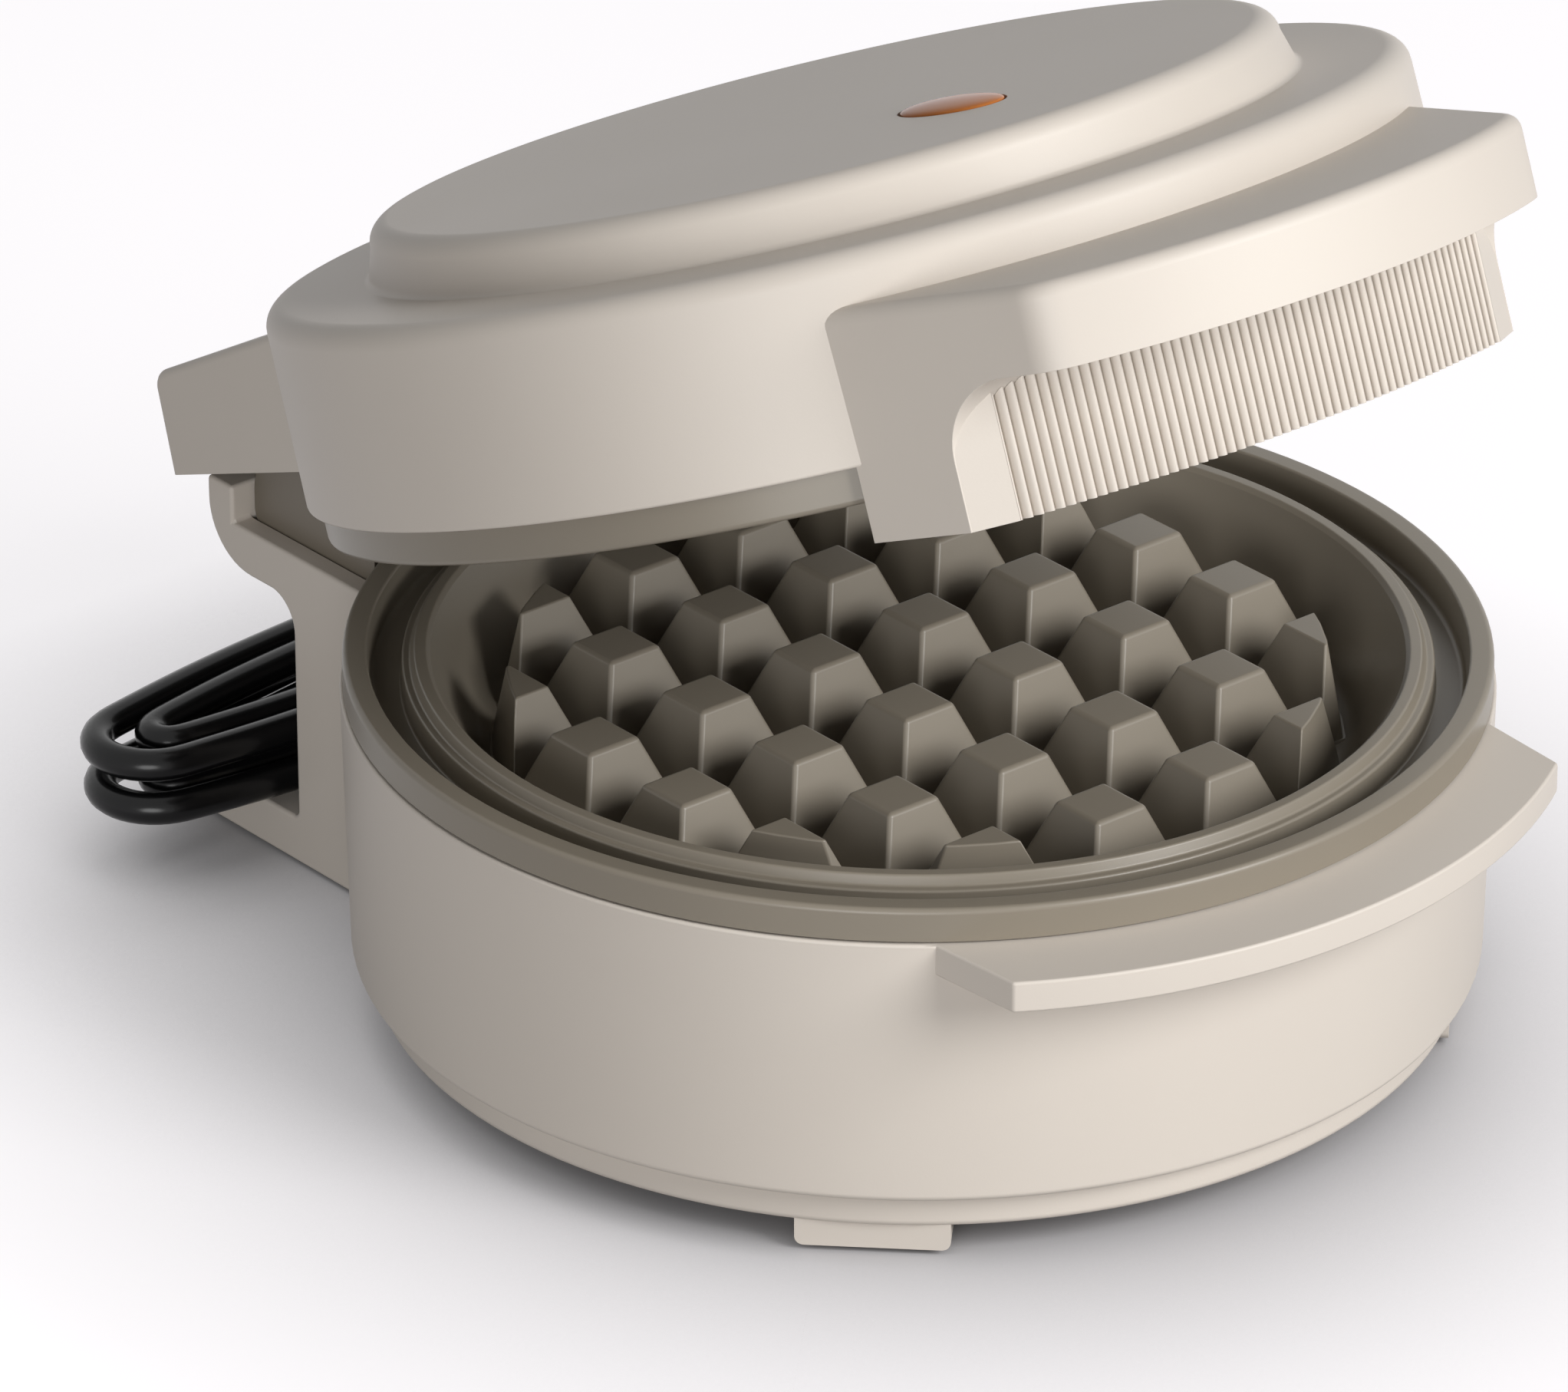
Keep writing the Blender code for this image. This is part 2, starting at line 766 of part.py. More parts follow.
def pyramid_places():
    """Places of the whole pyramids, then of those that the round wall clips."""
    whole, clipped = [], []
    count = math.ceil(clip_top_radius / pyramid_pitch)
    half = pyramid_top_width / 2
    for row in range(-count, count):
        for column in range(-count, count):
            x, y = (column + 0.5) * pyramid_pitch, (row + 0.5) * pyramid_pitch
            if math.hypot(abs(x) + half, abs(y) + half) < clip_top_radius:
                whole.append((x, y))
            elif math.hypot(abs(x) - half, abs(y) - half) < clip_top_radius:
                clipped.append((x, y))
    return whole, clipped


def waffle_plate(radius, rim_bottom_z, skirt_radius):
    """A plate as it lies in the base; the upper one is turned over afterwards."""
    body = turned(plate_profile(radius, rim_bottom_z, skirt_radius))
    whole, clipped = pyramid_places()
    body = joined(body, pyramid_group(whole))
    cone = rod(
        clip_base_radius, floor_z - overrun, pyramid_top_z + overrun,
        steps=round_steps, end_radius=clip_top_radius,
    )
    body = joined(body, common(pyramid_group(clipped), cone))
    for place in round_places(boss_circle_radius, boss_count, boss_first_angle):
        body = joined(body, rod(boss_radius, boss_end_z, floor_back_z + plate_wall / 2, place))
        hole = plate_screw_radius + clearance
        body = cut(body, rod(hole, boss_end_z - overrun, boss_end_z + plate_screw_reach + clearance, place, steps=spoke_steps))
    return body


def turned_over(shape):
    """Mirrors a base piece to its place over the plates' meeting plane."""
    bm = bmesh.new()
    bm.from_mesh(shape.data)
    bpy.data.objects.remove(shape, do_unlink=True)
    bmesh.ops.scale(bm, vec=(1.0, 1.0, -1.0), verts=bm.verts)
    bmesh.ops.translate(bm, vec=(0.0, 0.0, 2 * mirror_z), verts=bm.verts)
    return finish_mesh(bm)


def heating_element():
    angles = [element_half_angle * (2 * i / fan_steps - 1) for i in range(fan_steps + 1)]
    ring = [(*point_on(element_circle_radius, a), element_z) for a in angles]
    return tube(ring, element_radius)


def reflector():
    """A thin dish behind the element, screwed to the plate's bosses."""
    back_slope = cavity_floor_radius + plate_wall * 0.6
    ring_outer = cavity_radius + inner_ring_width + inner_ring_slope
    rise = (housing_top_z - plate_wall - floor_back_z) / (ring_outer - back_slope)
    inner = reflector_radius - reflector_thickness
    wall_top = floor_back_z + (inner - back_slope) * rise - clearance
    top = reflector_z + reflector_thickness
    profile = [
        (reflector_hole_radius, top),
        (inner, top),
        (inner, wall_top),
        (reflector_radius, wall_top),
        (reflector_radius, reflector_z),
        (reflector_hole_radius, reflector_z),
        (reflector_hole_radius, top),
    ]
    body = turned(profile)
    for place in round_places(boss_circle_radius, boss_count, boss_first_angle):
        hole = plate_screw_radius + clearance
        body = cut(body, rod(hole, reflector_z - overrun, top + overrun / 3, place, steps=spoke_steps))
    return body


def plate_screw(place):
    head_top = reflector_z - clearance
    profile = [
        (plate_screw_radius, boss_end_z + plate_screw_reach),
        (plate_screw_radius, head_top),
        (plate_screw_head_radius, head_top),
        (plate_screw_head_radius, head_top - plate_screw_head_height),
    ]
    return turned(profile, steps=spoke_steps, centre=(*place, 0.0))


def thermostat():
    top = floor_back_z - clearance
    profile = [
        (thermostat_cap_radius, top),
        (thermostat_cap_radius, top - thermostat_cap_height),
        (thermostat_radius, top - thermostat_cap_height),
        (thermostat_radius, top - thermostat_height),
    ]
    return turned(profile, steps=small_steps)


def thermal_fuse():
    height = floor_back_z - clearance - fuse_radius
    return rod(fuse_radius, -fuse_length / 2, fuse_length / 2, (0.0, height), axis="X", steps=spoke_steps)


def base_cover():
    centre = cover_radius / 6
    profile = [
        (centre, cover_floor_z),
        (cover_radius - cover_wall, cover_floor_z),
        (cover_radius - cover_wall, cover_top_z),
        (cover_radius, cover_top_z),
        (cover_radius, cover_bottom_z + cover_chamfer),
        (cover_radius - cover_chamfer, cover_bottom_z),
        (centre, cover_bottom_z),
    ]
    body = turned(profile)
    for i in range(foot_count):
        angle = foot_first_angle + math.tau * i / foot_count
        outer = cover_radius - cover_chamfer
        low = (-foot_tab_width / 2, -outer, foot_tab_bottom_z)
        high = (foot_tab_width / 2, foot_tab_depth - outer, cover_bottom_z + cover_wall / 2)
        body = joined(body, box(low, high, angle))
        pocket_top = pad_height + clearance
        place = point_on(pad_circle_radius, angle)
        body = cut(body, rod(pad_radius + clearance, 0.0, pocket_top, place))
    for place in round_places(cover_screw_circle_radius, foot_count, cover_screw_first_angle):
        body = joined(body, rod(cover_tower_radius, cover_bottom_z + cover_wall / 2, cover_top_z - clearance, place))
        body = cut(body, rod(cover_screw_radius + clearance, 0.0, cover_top_z + overrun, place))
        head = cover_bottom_z + cover_screw_head_height + clearance
        body = cut(body, rod(cover_screw_head_radius + clearance, 0.0, head, place))
    return body


def cover_screw(place):
    profile = [
        (cover_screw_radius, cover_bottom_z + cover_screw_length),
        (cover_screw_radius, cover_bottom_z + cover_screw_head_height),
        (cover_screw_head_radius, cover_bottom_z + cover_screw_head_height),
        (cover_screw_head_radius, cover_bottom_z),
    ]
    return turned(profile, steps=small_steps, centre=(*place, 0.0))


def terminal_block():
    length, depth, height = terminal_block_size
    bottom = cover_floor_z + clearance
    low = (-length / 2, terminal_block_y - depth / 2, bottom)
    body = box(low, (length / 2, terminal_block_y + depth / 2, bottom + height))
    for side in (-1, 0, 1):
        x = side * length / 3
        slot_low = (x - terminal_slot_width / 2, low[1] - overrun, bottom + height - terminal_slot_depth)
        slot_high = (x + terminal_slot_width / 2, low[1] + depth / 2, bottom + height + overrun)
        body = cut(body, box(slot_low, slot_high))
    return body


def hinge_pedestal():
    """The C-shaped pedestal: foot plate, neck, rounded shelf and the tab behind the hinge."""
    outline = rounded(
        [
            (pedestal_front_y, pedestal_foot_z),
            (pedestal_plate_rear_y, pedestal_foot_z),
            (pedestal_plate_rear_y, pedestal_plate_top_z),
            (neck_rear_y, pedestal_plate_top_z),
            (neck_rear_y, bulge_bottom_z, neck_fillet),
            (bulge_rear_y, bulge_bottom_z, bulge_fillet),
            (bulge_rear_y, tab_top_z),
            (bulge_rear_y - tab_depth, tab_top_z),
            (bulge_rear_y - tab_depth, housing_top_z),
            (pedestal_front_y, housing_top_z),
        ],
        steps=corner_steps,
    )
    body = prism(outline, -pedestal_half_width, pedestal_half_width, axis="X")
    inner = pedestal_half_width - pedestal_wall
    recess_low = (-inner, pedestal_front_y - overrun, recess_z)
    recess_high = (inner, bulge_rear_y - tab_depth, housing_top_z + overrun)
    body = cut(body, box(recess_low, recess_high))
    hollow_low = (-inner, pedestal_front_y - overrun, pedestal_plate_top_z + pedestal_wall)
    hollow_high = (inner, neck_rear_y - pedestal_wall, recess_z - pedestal_wall)
    body = cut(body, box(hollow_low, hollow_high))
    hole = rod(
        gland_neck_radius + clearance, pedestal_front_y, neck_rear_y + overrun, (gland_x, gland_z), axis="Y"
    )
    body = cut(body, hole)
    notch_low = (-tower_inner_x, bulge_rear_y - tab_depth - overrun, housing_top_z)
    notch_high = (tower_inner_x, bulge_rear_y + overrun, tab_top_z + overrun)
    body = cut(body, box(notch_low, notch_high))
    return cut(body, rod(drum_gap_radius, -overrun, tab_top_z + overrun, steps=round_steps))


def hinge_tower():
    """The dark block between the pedestal's cheeks; its two walls carry the pins."""
    rear_y = bulge_rear_y - tab_depth - clearance
    bottom = recess_z + clearance
    outline = rounded(
        [
            (pedestal_front_y, bottom),
            (rear_y, bottom, tower_corner_fillet),
            (rear_y, hinge_z),
            (tower_rear_shoulder_y, tower_rear_shoulder_z),
            (tower_rear_top_y, tower_top_z, tower_top_fillet / 2),
            (tower_front_top_y, tower_front_top_z, tower_top_fillet),
            (tower_front_low_y, tower_front_low_z),
            (pedestal_front_y, tower_front_low_z),
        ]
    )
    body = prism(outline, -tower_half_width, tower_half_width, axis="X")
    hollow_low = (-tower_inner_x, pedestal_front_y - overrun, bottom + tower_floor)
    hollow_high = (tower_inner_x, rear_y - tower_floor, tower_top_z + overrun)
    body = cut(body, box(hollow_low, hollow_high))
    notch_low = (-tower_inner_x, rear_y - tower_floor - overrun, tower_rear_wall_top_z)
    notch_high = (tower_inner_x, rear_y + overrun, tower_top_z + overrun)
    body = cut(body, box(notch_low, notch_high))
    body = cut(body, rod(lid_gap_radius, 0.0, tower_top_z + overrun, steps=round_steps))
    seat = tower_inner_x + pin_seat_depth
    pin_hole = rod(pin_radius + clearance, -seat, seat, (hinge_y, hinge_z), axis="X")
    return cut(body, pin_hole)


def hinge_pin(side):
    head_outer = arm_inner_x - clearance
    end = tower_inner_x + pin_seat_depth - clearance
    profile = [
        (pin_radius, end),
        (pin_radius, head_outer),
        (pin_head_radius, head_outer),
        (pin_head_radius, head_outer - pin_head_height),
    ]
    profile = [(radius, side * place) for radius, place in profile]
    return turned(profile, steps=small_steps, axis="X", centre=(0.0, hinge_y, hinge_z))


def hinge_washer(side):
    inner = pin_radius + clearance
    profile = [
        (inner, washer_outer_x),
        (washer_radius, washer_outer_x),
        (washer_radius, washer_outer_x - washer_thickness),
        (inner, washer_outer_x - washer_thickness),
        (inner, washer_outer_x),
    ]
    profile = [(radius, side * place) for radius, place in profile]
    return turned(profile, steps=small_steps, axis="X", centre=(0.0, hinge_y, hinge_z))


def hinge_bracket():
    """A bent plate under the lid block's top, with an arm down to each pin."""
    body = prism(
        [
            (bracket_front_y, block_ceiling(bracket_front_y) - clearance),
            (bracket_rear_y, block_ceiling(bracket_rear_y) - clearance),
            (bracket_rear_y, block_ceiling(bracket_rear_y) - clearance - bracket_thickness),
            (bracket_front_y, block_ceiling(bracket_front_y) - clearance - bracket_thickness),
        ],
        -arm_outer_x, arm_outer_x, axis="X",
    )
    top_front = Vector((arm_front_y, block_ceiling(arm_front_y) - clearance))
    top_rear = Vector((arm_rear_y, block_ceiling(arm_rear_y) - clearance))
    centre = Vector((hinge_y, hinge_z))
    outline = [tuple(top_rear), tuple(top_front)]
    first = side_angle(top_front, centre, -1)
    last = side_angle(top_rear, centre, 1)
    outline += arc(centre, arm_boss_radius, first, last, steps=spoke_steps)
    for side in (-1, 1):
        arm = prism(outline, side * arm_inner_x, side * arm_outer_x, axis="X")
        body = joined(body, arm)
    bore = pin_radius + clearance
    ends = arm_outer_x + overrun
    return cut(body, rod(bore, -ends, ends, (hinge_y, hinge_z), axis="X"))


def side_angle(corner, centre, side):
    """Angle, as seen from the pin, at which a straight side from a corner touches the boss."""
    way = corner - centre
    facing = math.atan2(way.y, way.x)
    spread = math.acos(arm_boss_radius / way.length)
    if side < 0:
        return facing + spread
    return facing - spread + math.tau


def lid_outer_profile():
    disc_top_radius = lid_top_disc_radius - lid_top_disc_draft - lid_top_disc_fillet
    shoulder_top = lid_shoulder_z + lid_shoulder_fillet
    centre = lid_radius / 6
    profile = [(centre, lid_top_z)]
    profile += arc((disc_top_radius, lid_top_z - lid_top_disc_fillet), lid_top_disc_fillet, math.pi / 2, 0)
    profile += [
        (lid_top_disc_radius, shoulder_top + lid_top_disc_foot),
        (lid_top_disc_radius + lid_top_disc_foot, shoulder_top),
    ]
    profile += arc((lid_shoulder_radius - lid_shoulder_fillet, lid_shoulder_z), lid_shoulder_fillet, math.pi / 2, 0)
    return profile + [(lid_radius, lid_bottom_z), (centre, lid_bottom_z)]


def lid_inner_profile():
    """The lid's hollow, with the seat that takes the upper plate's edge."""
    centre = lid_radius / 6
    shoulder_top = lid_shoulder_z + lid_shoulder_fillet - lid_wall
    skirt = lid_radius - lid_skirt_wall
    seat_z = 2 * mirror_z - plate_skirt_z + clearance
    seat_top_z = seat_z + lid_seat_thickness
    slope = (lid_radius - lid_shoulder_radius) / (lid_shoulder_z - lid_bottom_z)
    wall_inner = lid_radius - lid_wall - slope * (seat_top_z - lid_bottom_z)
    flange_inner = skirt - lid_seat_width - lid_seat_thickness / 2
    disc_side = lid_top_disc_radius - lid_wall
    return [
        (centre, lid_top_z - lid_wall),
        (disc_side - lid_top_disc_fillet, lid_top_z - lid_wall),
        (disc_side - lid_top_disc_draft, lid_top_z - lid_top_disc_fillet),
        (disc_side, shoulder_top),
        (lid_shoulder_radius - lid_shoulder_fillet, shoulder_top),
        (lid_shoulder_radius - lid_wall, lid_shoulder_z),
        (wall_inner, seat_top_z),
        (flange_inner, seat_top_z),
        (flange_inner, seat_z),
        (skirt, seat_z),
        (skirt, lid_bottom_z - overrun),
        (centre, lid_bottom_z - overrun),
    ]


def handle_side(run):
    """A place on the handle's right side, so far in front of where it leaves the drum."""
    return (
        handle_side_x - run * math.sin(handle_side_slant),
        handle_side_y - run * math.cos(handle_side_slant),
    )


def handle_outline():
    """The handle seen from above: a root in the drum, flat sides and a curved front."""
    half = math.asin(handle_corner_x / handle_front_radius)
    corner = (handle_corner_x, handle_front_centre_y - handle_front_radius * math.cos(half))
    end = half - handle_corner_fillet / 2 / handle_front_radius
    steps = small_steps
    front = [point_on(handle_front_radius, end * (2 * i / steps - 1)) for i in range(steps + 1)]
    front = [(x, y + handle_front_centre_y) for x, y in front]
    root = handle_side(-handle_root_depth)
    corners = [(-root[0], root[1]), (-corner[0], corner[1], handle_corner_fillet)]
    corners += front + [(*corner, handle_corner_fillet), root]
    return rounded(corners, steps=corner_steps)


def grip_arc(inset, half_width, steps):
    """Points on the grip's front, or on the like arc so far behind it."""
    radius = grip_front_radius - inset
    half = math.asin(half_width / radius)
    arc_points = [point_on(radius, half * (2 * i / steps - 1)) for i in range(steps + 1)]
    return [(x, y + grip_front_radius + grip_front_y) for x, y in arc_points]


def arch_room(gap):
    """The room under the visor, seen from the side and drawn out along X."""
    back = handle_side(leg_depth)[1] - gap
    low = base_rim_z - overrun
    front = grip_front_y * 2
    top = visor_bottom_z - gap
    side = rounded([(front, low), (back, low), (back, top, arch_fillet), (front, top)], steps=corner_steps)
    return prism(side, -2 * handle_side_x, 2 * handle_side_x, axis="X")


def lid_handle():
    """The visor over the grip, with a leg at each end that stands on the base's lip."""
    low = base_rim_z - 2 * handle_bevel
    body = softened(prism(handle_outline(), low, handle_top_z), handle_bevel, limit=math.radians(20))
    far = handle_front_radius * 2
    body = cut(body, box((-far, -far, low - overrun), (far, far, base_rim_z)))
    body = cut(body, rod(plate_radius + 2 * clearance, 0.0, lid_bottom_z + clearance, steps=round_steps))
    leg = Vector(handle_side(leg_depth))
    seat = grip_arc(grip_thickness + clearance, grip_half_width, spoke_steps)
    edge = Vector(grip_arc(0.0, grip_half_width, spoke_steps)[-1])
    outside = leg + (leg - edge) * 2
    front = 2 * grip_front_y
    room = [(-outside.x, outside.y), (-edge.x, edge.y)] + seat
    room += [tuple(edge), tuple(outside), (outside.x, front), (-outside.x, front)]
    recess = common(prism(room, base_rim_z - overrun, handle_top_z), arch_room(0.0))
    return cut(body, recess)


def lid_block():
    low = block_bottom_z - 2 * block_fillet
    body = prism(block_outline(low=low), -block_half_width, block_half_width, axis="X")
    body = softened(body, block_fillet, limit=math.radians(60))
    far = 2 * block_rear_bottom_y
    return cut(body, box((-far, -far, low - overrun), (far, far, block_bottom_z)))


def lid_housing():
    body = turned(lid_outer_profile())
    body = joined(body, lid_handle())
    body = joined(body, lid_block())
    body = cut(body, turned(lid_inner_profile()))
    inner = block_half_width - lid_wall
    hollow = prism(block_outline(lid_wall, block_bottom_z - overrun), -inner, inner, axis="X")
    hollow = cut(hollow, rod(lid_radius, 0.0, lid_top_z, steps=round_steps))
    body = cut(body, hollow)
    return cut(body, oval(rod(lens_half_width + clearance, lid_shoulder_z, lid_top_z + overrun, steps=fan_steps)))


def handle_grip():
    """The curved strip of upright ribs under the visor."""
    half_width = grip_half_width - clearance
    valleys = grip_arc(rib_depth, half_width, 2 * rib_count)
    crests = grip_arc(0.0, half_width, 2 * rib_count)
    front = [crests[i] if i % 2 else valleys[i] for i in range(2 * rib_count + 1)]
    back = grip_arc(grip_thickness, half_width, spoke_steps)
    body = prism(front + back[::-1], base_rim_z, handle_top_z)
    return common(body, arch_room(clearance))


def oval(shape, height=0.0):
    """Stretches a round shape on the drum's axis to the lens's oval and moves it there."""
    bm = bmesh.new()
    bm.from_mesh(shape.data)
    bpy.data.objects.remove(shape, do_unlink=True)
    bmesh.ops.scale(bm, vec=(1.0, lens_half_length / lens_half_width, 1.0), verts=bm.verts)
    bmesh.ops.translate(bm, vec=(0.0, lens_y, height), verts=bm.verts)
    return finish_mesh(bm)


def indicator_lens():
    inside = lid_top_z - lid_wall - clearance
    centre = lens_half_width / 4
    flange = lens_half_width + lens_flange_width
    profile = [
        (centre, lid_top_z + lens_rise),
        (lens_half_width * 0.6, lid_top_z + lens_rise * 0.8),
        (lens_half_width * 0.9, lid_top_z + lens_rise * 0.4),
        (lens_half_width, lid_top_z),
        (lens_half_width, inside),
        (flange, inside),
        (flange, inside - lens_flange_thickness),
        (centre, inside - lens_flange_thickness),
    ]
    return oval(turned(profile, steps=fan_steps))


def indicator_lamp():
    height = lid_top_z - lid_wall - 2 * clearance - lens_flange_thickness - lamp_radius
    return rod(lamp_radius, -lamp_length / 2, lamp_length / 2, (lens_y, height), axis="X", steps=spoke_steps)


def strain_relief():
    """The tapered sleeve where the cord leaves the neck, with its head inside."""
    panel_inner = neck_rear_y - pedestal_wall - clearance
    panel_outer = neck_rear_y + clearance
    flange_end = panel_outer + gland_flange_length
    profile = [
        (gland_head_radius, panel_inner - gland_head_length),
        (gland_head_radius, panel_inner),
        (gland_neck_radius, panel_inner),
        (gland_neck_radius, panel_outer),
        (gland_flange_radius, panel_outer),
        (gland_flange_radius, flange_end),
        (gland_root_radius, flange_end),
        (gland_tip_radius, flange_end + gland_length),
    ]
    return turned(profile, steps=small_steps, axis="Y", centre=(gland_x, 0.0, gland_z))


def hank_point(index):
    """Middle of the cord at a numbered point of the hank, a wedge that is wider on the right.

    Each loop starts at the middle of the right fold, runs left on the far side, folds,
    and runs back on the near side. The loops spiral in and, a layer lower, out again.
    """
    turn = index / hank_loop_points
    share = min(max((index - hank_drop_point) / hank_drop_points, 0.0), 1.0)
    inset = (turn - 0.5) * (1.0 - share) + (hank_loops - 0.5 - turn) * share
    left_x = hank_left_x + (hank_left_low_x - hank_left_x) * share
    left = Vector((left_x + hank_left_step * inset, hank_left_y))
    right = Vector((hank_right_x, hank_right_y))
    part = (index + hank_fold_points / 2) % hank_loop_points - hank_fold_points / 2
    fold = hank_fold_points
    run = hank_loop_points / 2 - fold
    along = 0.0
    if part <= fold / 2:
        angle = math.pi * part / fold
    elif part < fold / 2 + run:
        angle = math.pi / 2
        along = (part - fold / 2) / run
    elif part <= fold * 1.5 + run:
        angle = math.pi / 2 + math.pi * (part - fold / 2 - run) / fold
        along = 1.0
    else:
        angle = -math.pi / 2
        along = 1.0 - (part - fold * 1.5 - run) / run
    way = Vector((math.cos(angle), math.sin(angle)))
    left += way * (hank_left_radius - inset * hank_pitch)
    right += way * (hank_right_radius - inset * hank_pitch)
    left_z = hank_left_high_z + (hank_left_low_z - hank_left_high_z) * share
    right_z = hank_high_z + (hank_low_z - hank_high_z) * share
    return Vector((*right, right_z)).lerp(Vector((*left, left_z)), along)


def hank_line():
    return [hank_point(i) for i in range(hank_first_point, hank_loops * hank_loop_points + 1)]


def least_gap(line):
    """The least clear distance between stretches of a wound cord that aren't neighbours."""
    fine = []
    for first, second in zip(line, line[1:]):
        count = max(1, math.ceil((second - first).length / cord_radius))
        fine += [first.lerp(second, i / count) for i in range(count)]
    apart = math.ceil(4 * math.pi)
    gap = min(
        (fine[i] - fine[j]).length for i in range(len(fine)) for j in range(i + apart, len(fine))
    )
    return gap - 2 * cord_radius


def route_length(points):
    return sum((b - a).length for a, b in zip(points, points[1:]))


def cord_post():
    """The upright that the cord is wound on, standing on the pedestal's foot plate."""
    low = (post_left_x, post_y - post_thickness / 2, pedestal_plate_top_z + clearance)
    high = (post_right_x, post_y + post_thickness / 2, post_top_z)
    return softened(box(low, high), post_bevel)


def plug_body():
    neck_end = plug_neck_y - clearance
    face = neck_end - plug_neck_length
    front = face - plug_length
    low = (plug_x - plug_width / 2, front, plug_z - plug_thickness / 2)
    body = softened(box(low, (plug_x + plug_width / 2, face, plug_z + plug_thickness / 2)), plug_bevel, 3)
    neck = rod(
        plug_neck_root_radius, face - overrun, neck_end, (plug_x, plug_z), axis="Y", end_radius=plug_neck_radius
    )
    body = joined(body, neck)
    for side in (-1, 1):
        x = plug_x + side * blade_spacing / 2
        slot_low = (x - blade_thickness / 2 - clearance, front - overrun, plug_z - blade_width / 2 - clearance)
        slot_high = (
            x + blade_thickness / 2 + clearance, front + blade_root + clearance, plug_z + blade_width / 2 + clearance
        )
        body = cut(body, box(slot_low, slot_high))
    return body


def plug_blade(side):
    front = plug_neck_y - clearance - plug_neck_length - plug_length
    x = plug_x + side * blade_spacing / 2
    low = (x - blade_thickness / 2, front - blade_length, plug_z - blade_width / 2)
    return box(low, (x + blade_thickness / 2, front + blade_root, plug_z + blade_width / 2))


def main():
    clear_scene()
    cream = make_material("warm_cream_plastic", (0.62, 0.56, 0.50), 0.42)
    taupe = make_material("taupe_nonstick_ceramic", (0.24, 0.20, 0.155), 0.38)
    dark = make_material("shaded_taupe_plastic", (0.20, 0.17, 0.14), 0.50)
    steel = make_material("bright_steel", (0.60, 0.60, 0.60), 0.30, 1.0)
    brass = make_material("nickel_brass", (0.72, 0.66, 0.52), 0.28, 1.0)
    rubber = make_material("dark_rubber", (0.03, 0.03, 0.03), 0.70)
    cord = make_material("black_cord", (0.008, 0.008, 0.008), 0.22)
    amber = make_material("amber_lens", (0.48, 0.17, 0.04), 0.18)
    nylon = make_material("white_nylon", (0.75, 0.74, 0.70), 0.50)
    glass = make_material("lamp_glass", (0.80, 0.55, 0.40), 0.10)

    maker = Builder()
    place = maker.place
    place(base_housing(), "base_housing", cream)
    place(base_cover(), "base_cover", cream)
    place(hinge_pedestal(), "hinge_pedestal", cream)
    place(hinge_tower(), "hinge_tower", dark)
    place(waffle_plate(plate_radius, base_rim_z, plate_skirt_radius), "lower_plate", taupe)
    place(heating_element(), "lower_element", steel)
    place(reflector(), "lower_reflector", steel)
    place(thermostat(), "thermostat", steel)
    place(terminal_block(), "terminal_block", nylon)
    place(strain_relief(), "strain_relief", rubber)
    place(cord_post(), "cord_post", cream)
    for i, spot in enumerate(round_places(pad_circle_radius, foot_count, foot_first_angle)):
        place(rod(pad_radius, 0.0, pad_height, spot), f"foot_pad_{i + 1}", rubber)
    for i, spot in enumerate(round_places(cover_screw_circle_radius, foot_count, cover_screw_first_angle)):
        place(cover_screw(spot), f"cover_screw_{i + 1}", steel)
    for i, spot in enumerate(round_places(boss_circle_radius, boss_count, boss_first_angle)):
        place(plate_screw(spot), f"lower_plate_screw_{i + 1}", steel)
        place(turned_over(plate_screw(spot)), f"upper_plate_screw_{i + 1}", steel, on_lid=True)
    for side, word in ((-1, "left"), (1, "right")):
        place(hinge_pin(side), f"hinge_pin_{word}", steel)
        place(hinge_washer(side), f"hinge_washer_{word}", nylon)
        place(plug_blade(side), f"plug_blade_{word}", brass)

    place(lid_housing(), "lid_housing", cream, on_lid=True)
    place(handle_grip(), "handle_grip", cream, on_lid=True)
    upper_plate = waffle_plate(upper_plate_radius, plate_skirt_z, upper_plate_radius)
    place(turned_over(upper_plate), "upper_plate", taupe, on_lid=True)
    place(turned_over(heating_element()), "upper_element", steel, on_lid=True)
    place(turned_over(reflector()), "upper_reflector", steel, on_lid=True)
    place(turned_over(thermal_fuse()), "thermal_fuse", steel, on_lid=True)
    place(hinge_bracket(), "hinge_bracket", steel, on_lid=True)
    place(indicator_lens(), "indicator_lens", amber, on_lid=True)
    place(indicator_lamp(), "indicator_lamp", glass, on_lid=True)

    lead = smooth_route(lead_route)
    hank = hank_line()
    tail = smooth_route(tail_route)
    place(tube(lead, cord_radius, 2), "cord_lead", cord)
    place(tube(hank, cord_radius), "cord_hank", cord)
    place(tube(tail, cord_radius, 2), "cord_tail", cord)
    place(plug_body(), "plug_body", cord)
    print(f"hank starts at {tuple(round(v, 4) for v in hank[0])}, ends at {tuple(round(v, 4) for v in hank[-1])}")
    print(f"least gap of the hank to itself {least_gap(hank) * 1000:.2f} mm")
    print(f"cord length {route_length(lead) + route_length(hank) + route_length(tail):.3f} m")
    print(f"drum axis at y {axis_y:.5f} m")


main()
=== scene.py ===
# %% [markdown]
# This lesson dresses a mini Belgian waffle maker, open, with its cord wound behind it. The packed
# model already holds every piece at its real size, with the lid's hinge. Here each visible piece gets
# its finished surface. The frame is loaded first, because everything else is placed on it.

# %% Load the frame
import json
import math

import bmesh
import bpy
from mathutils import Matrix, Vector


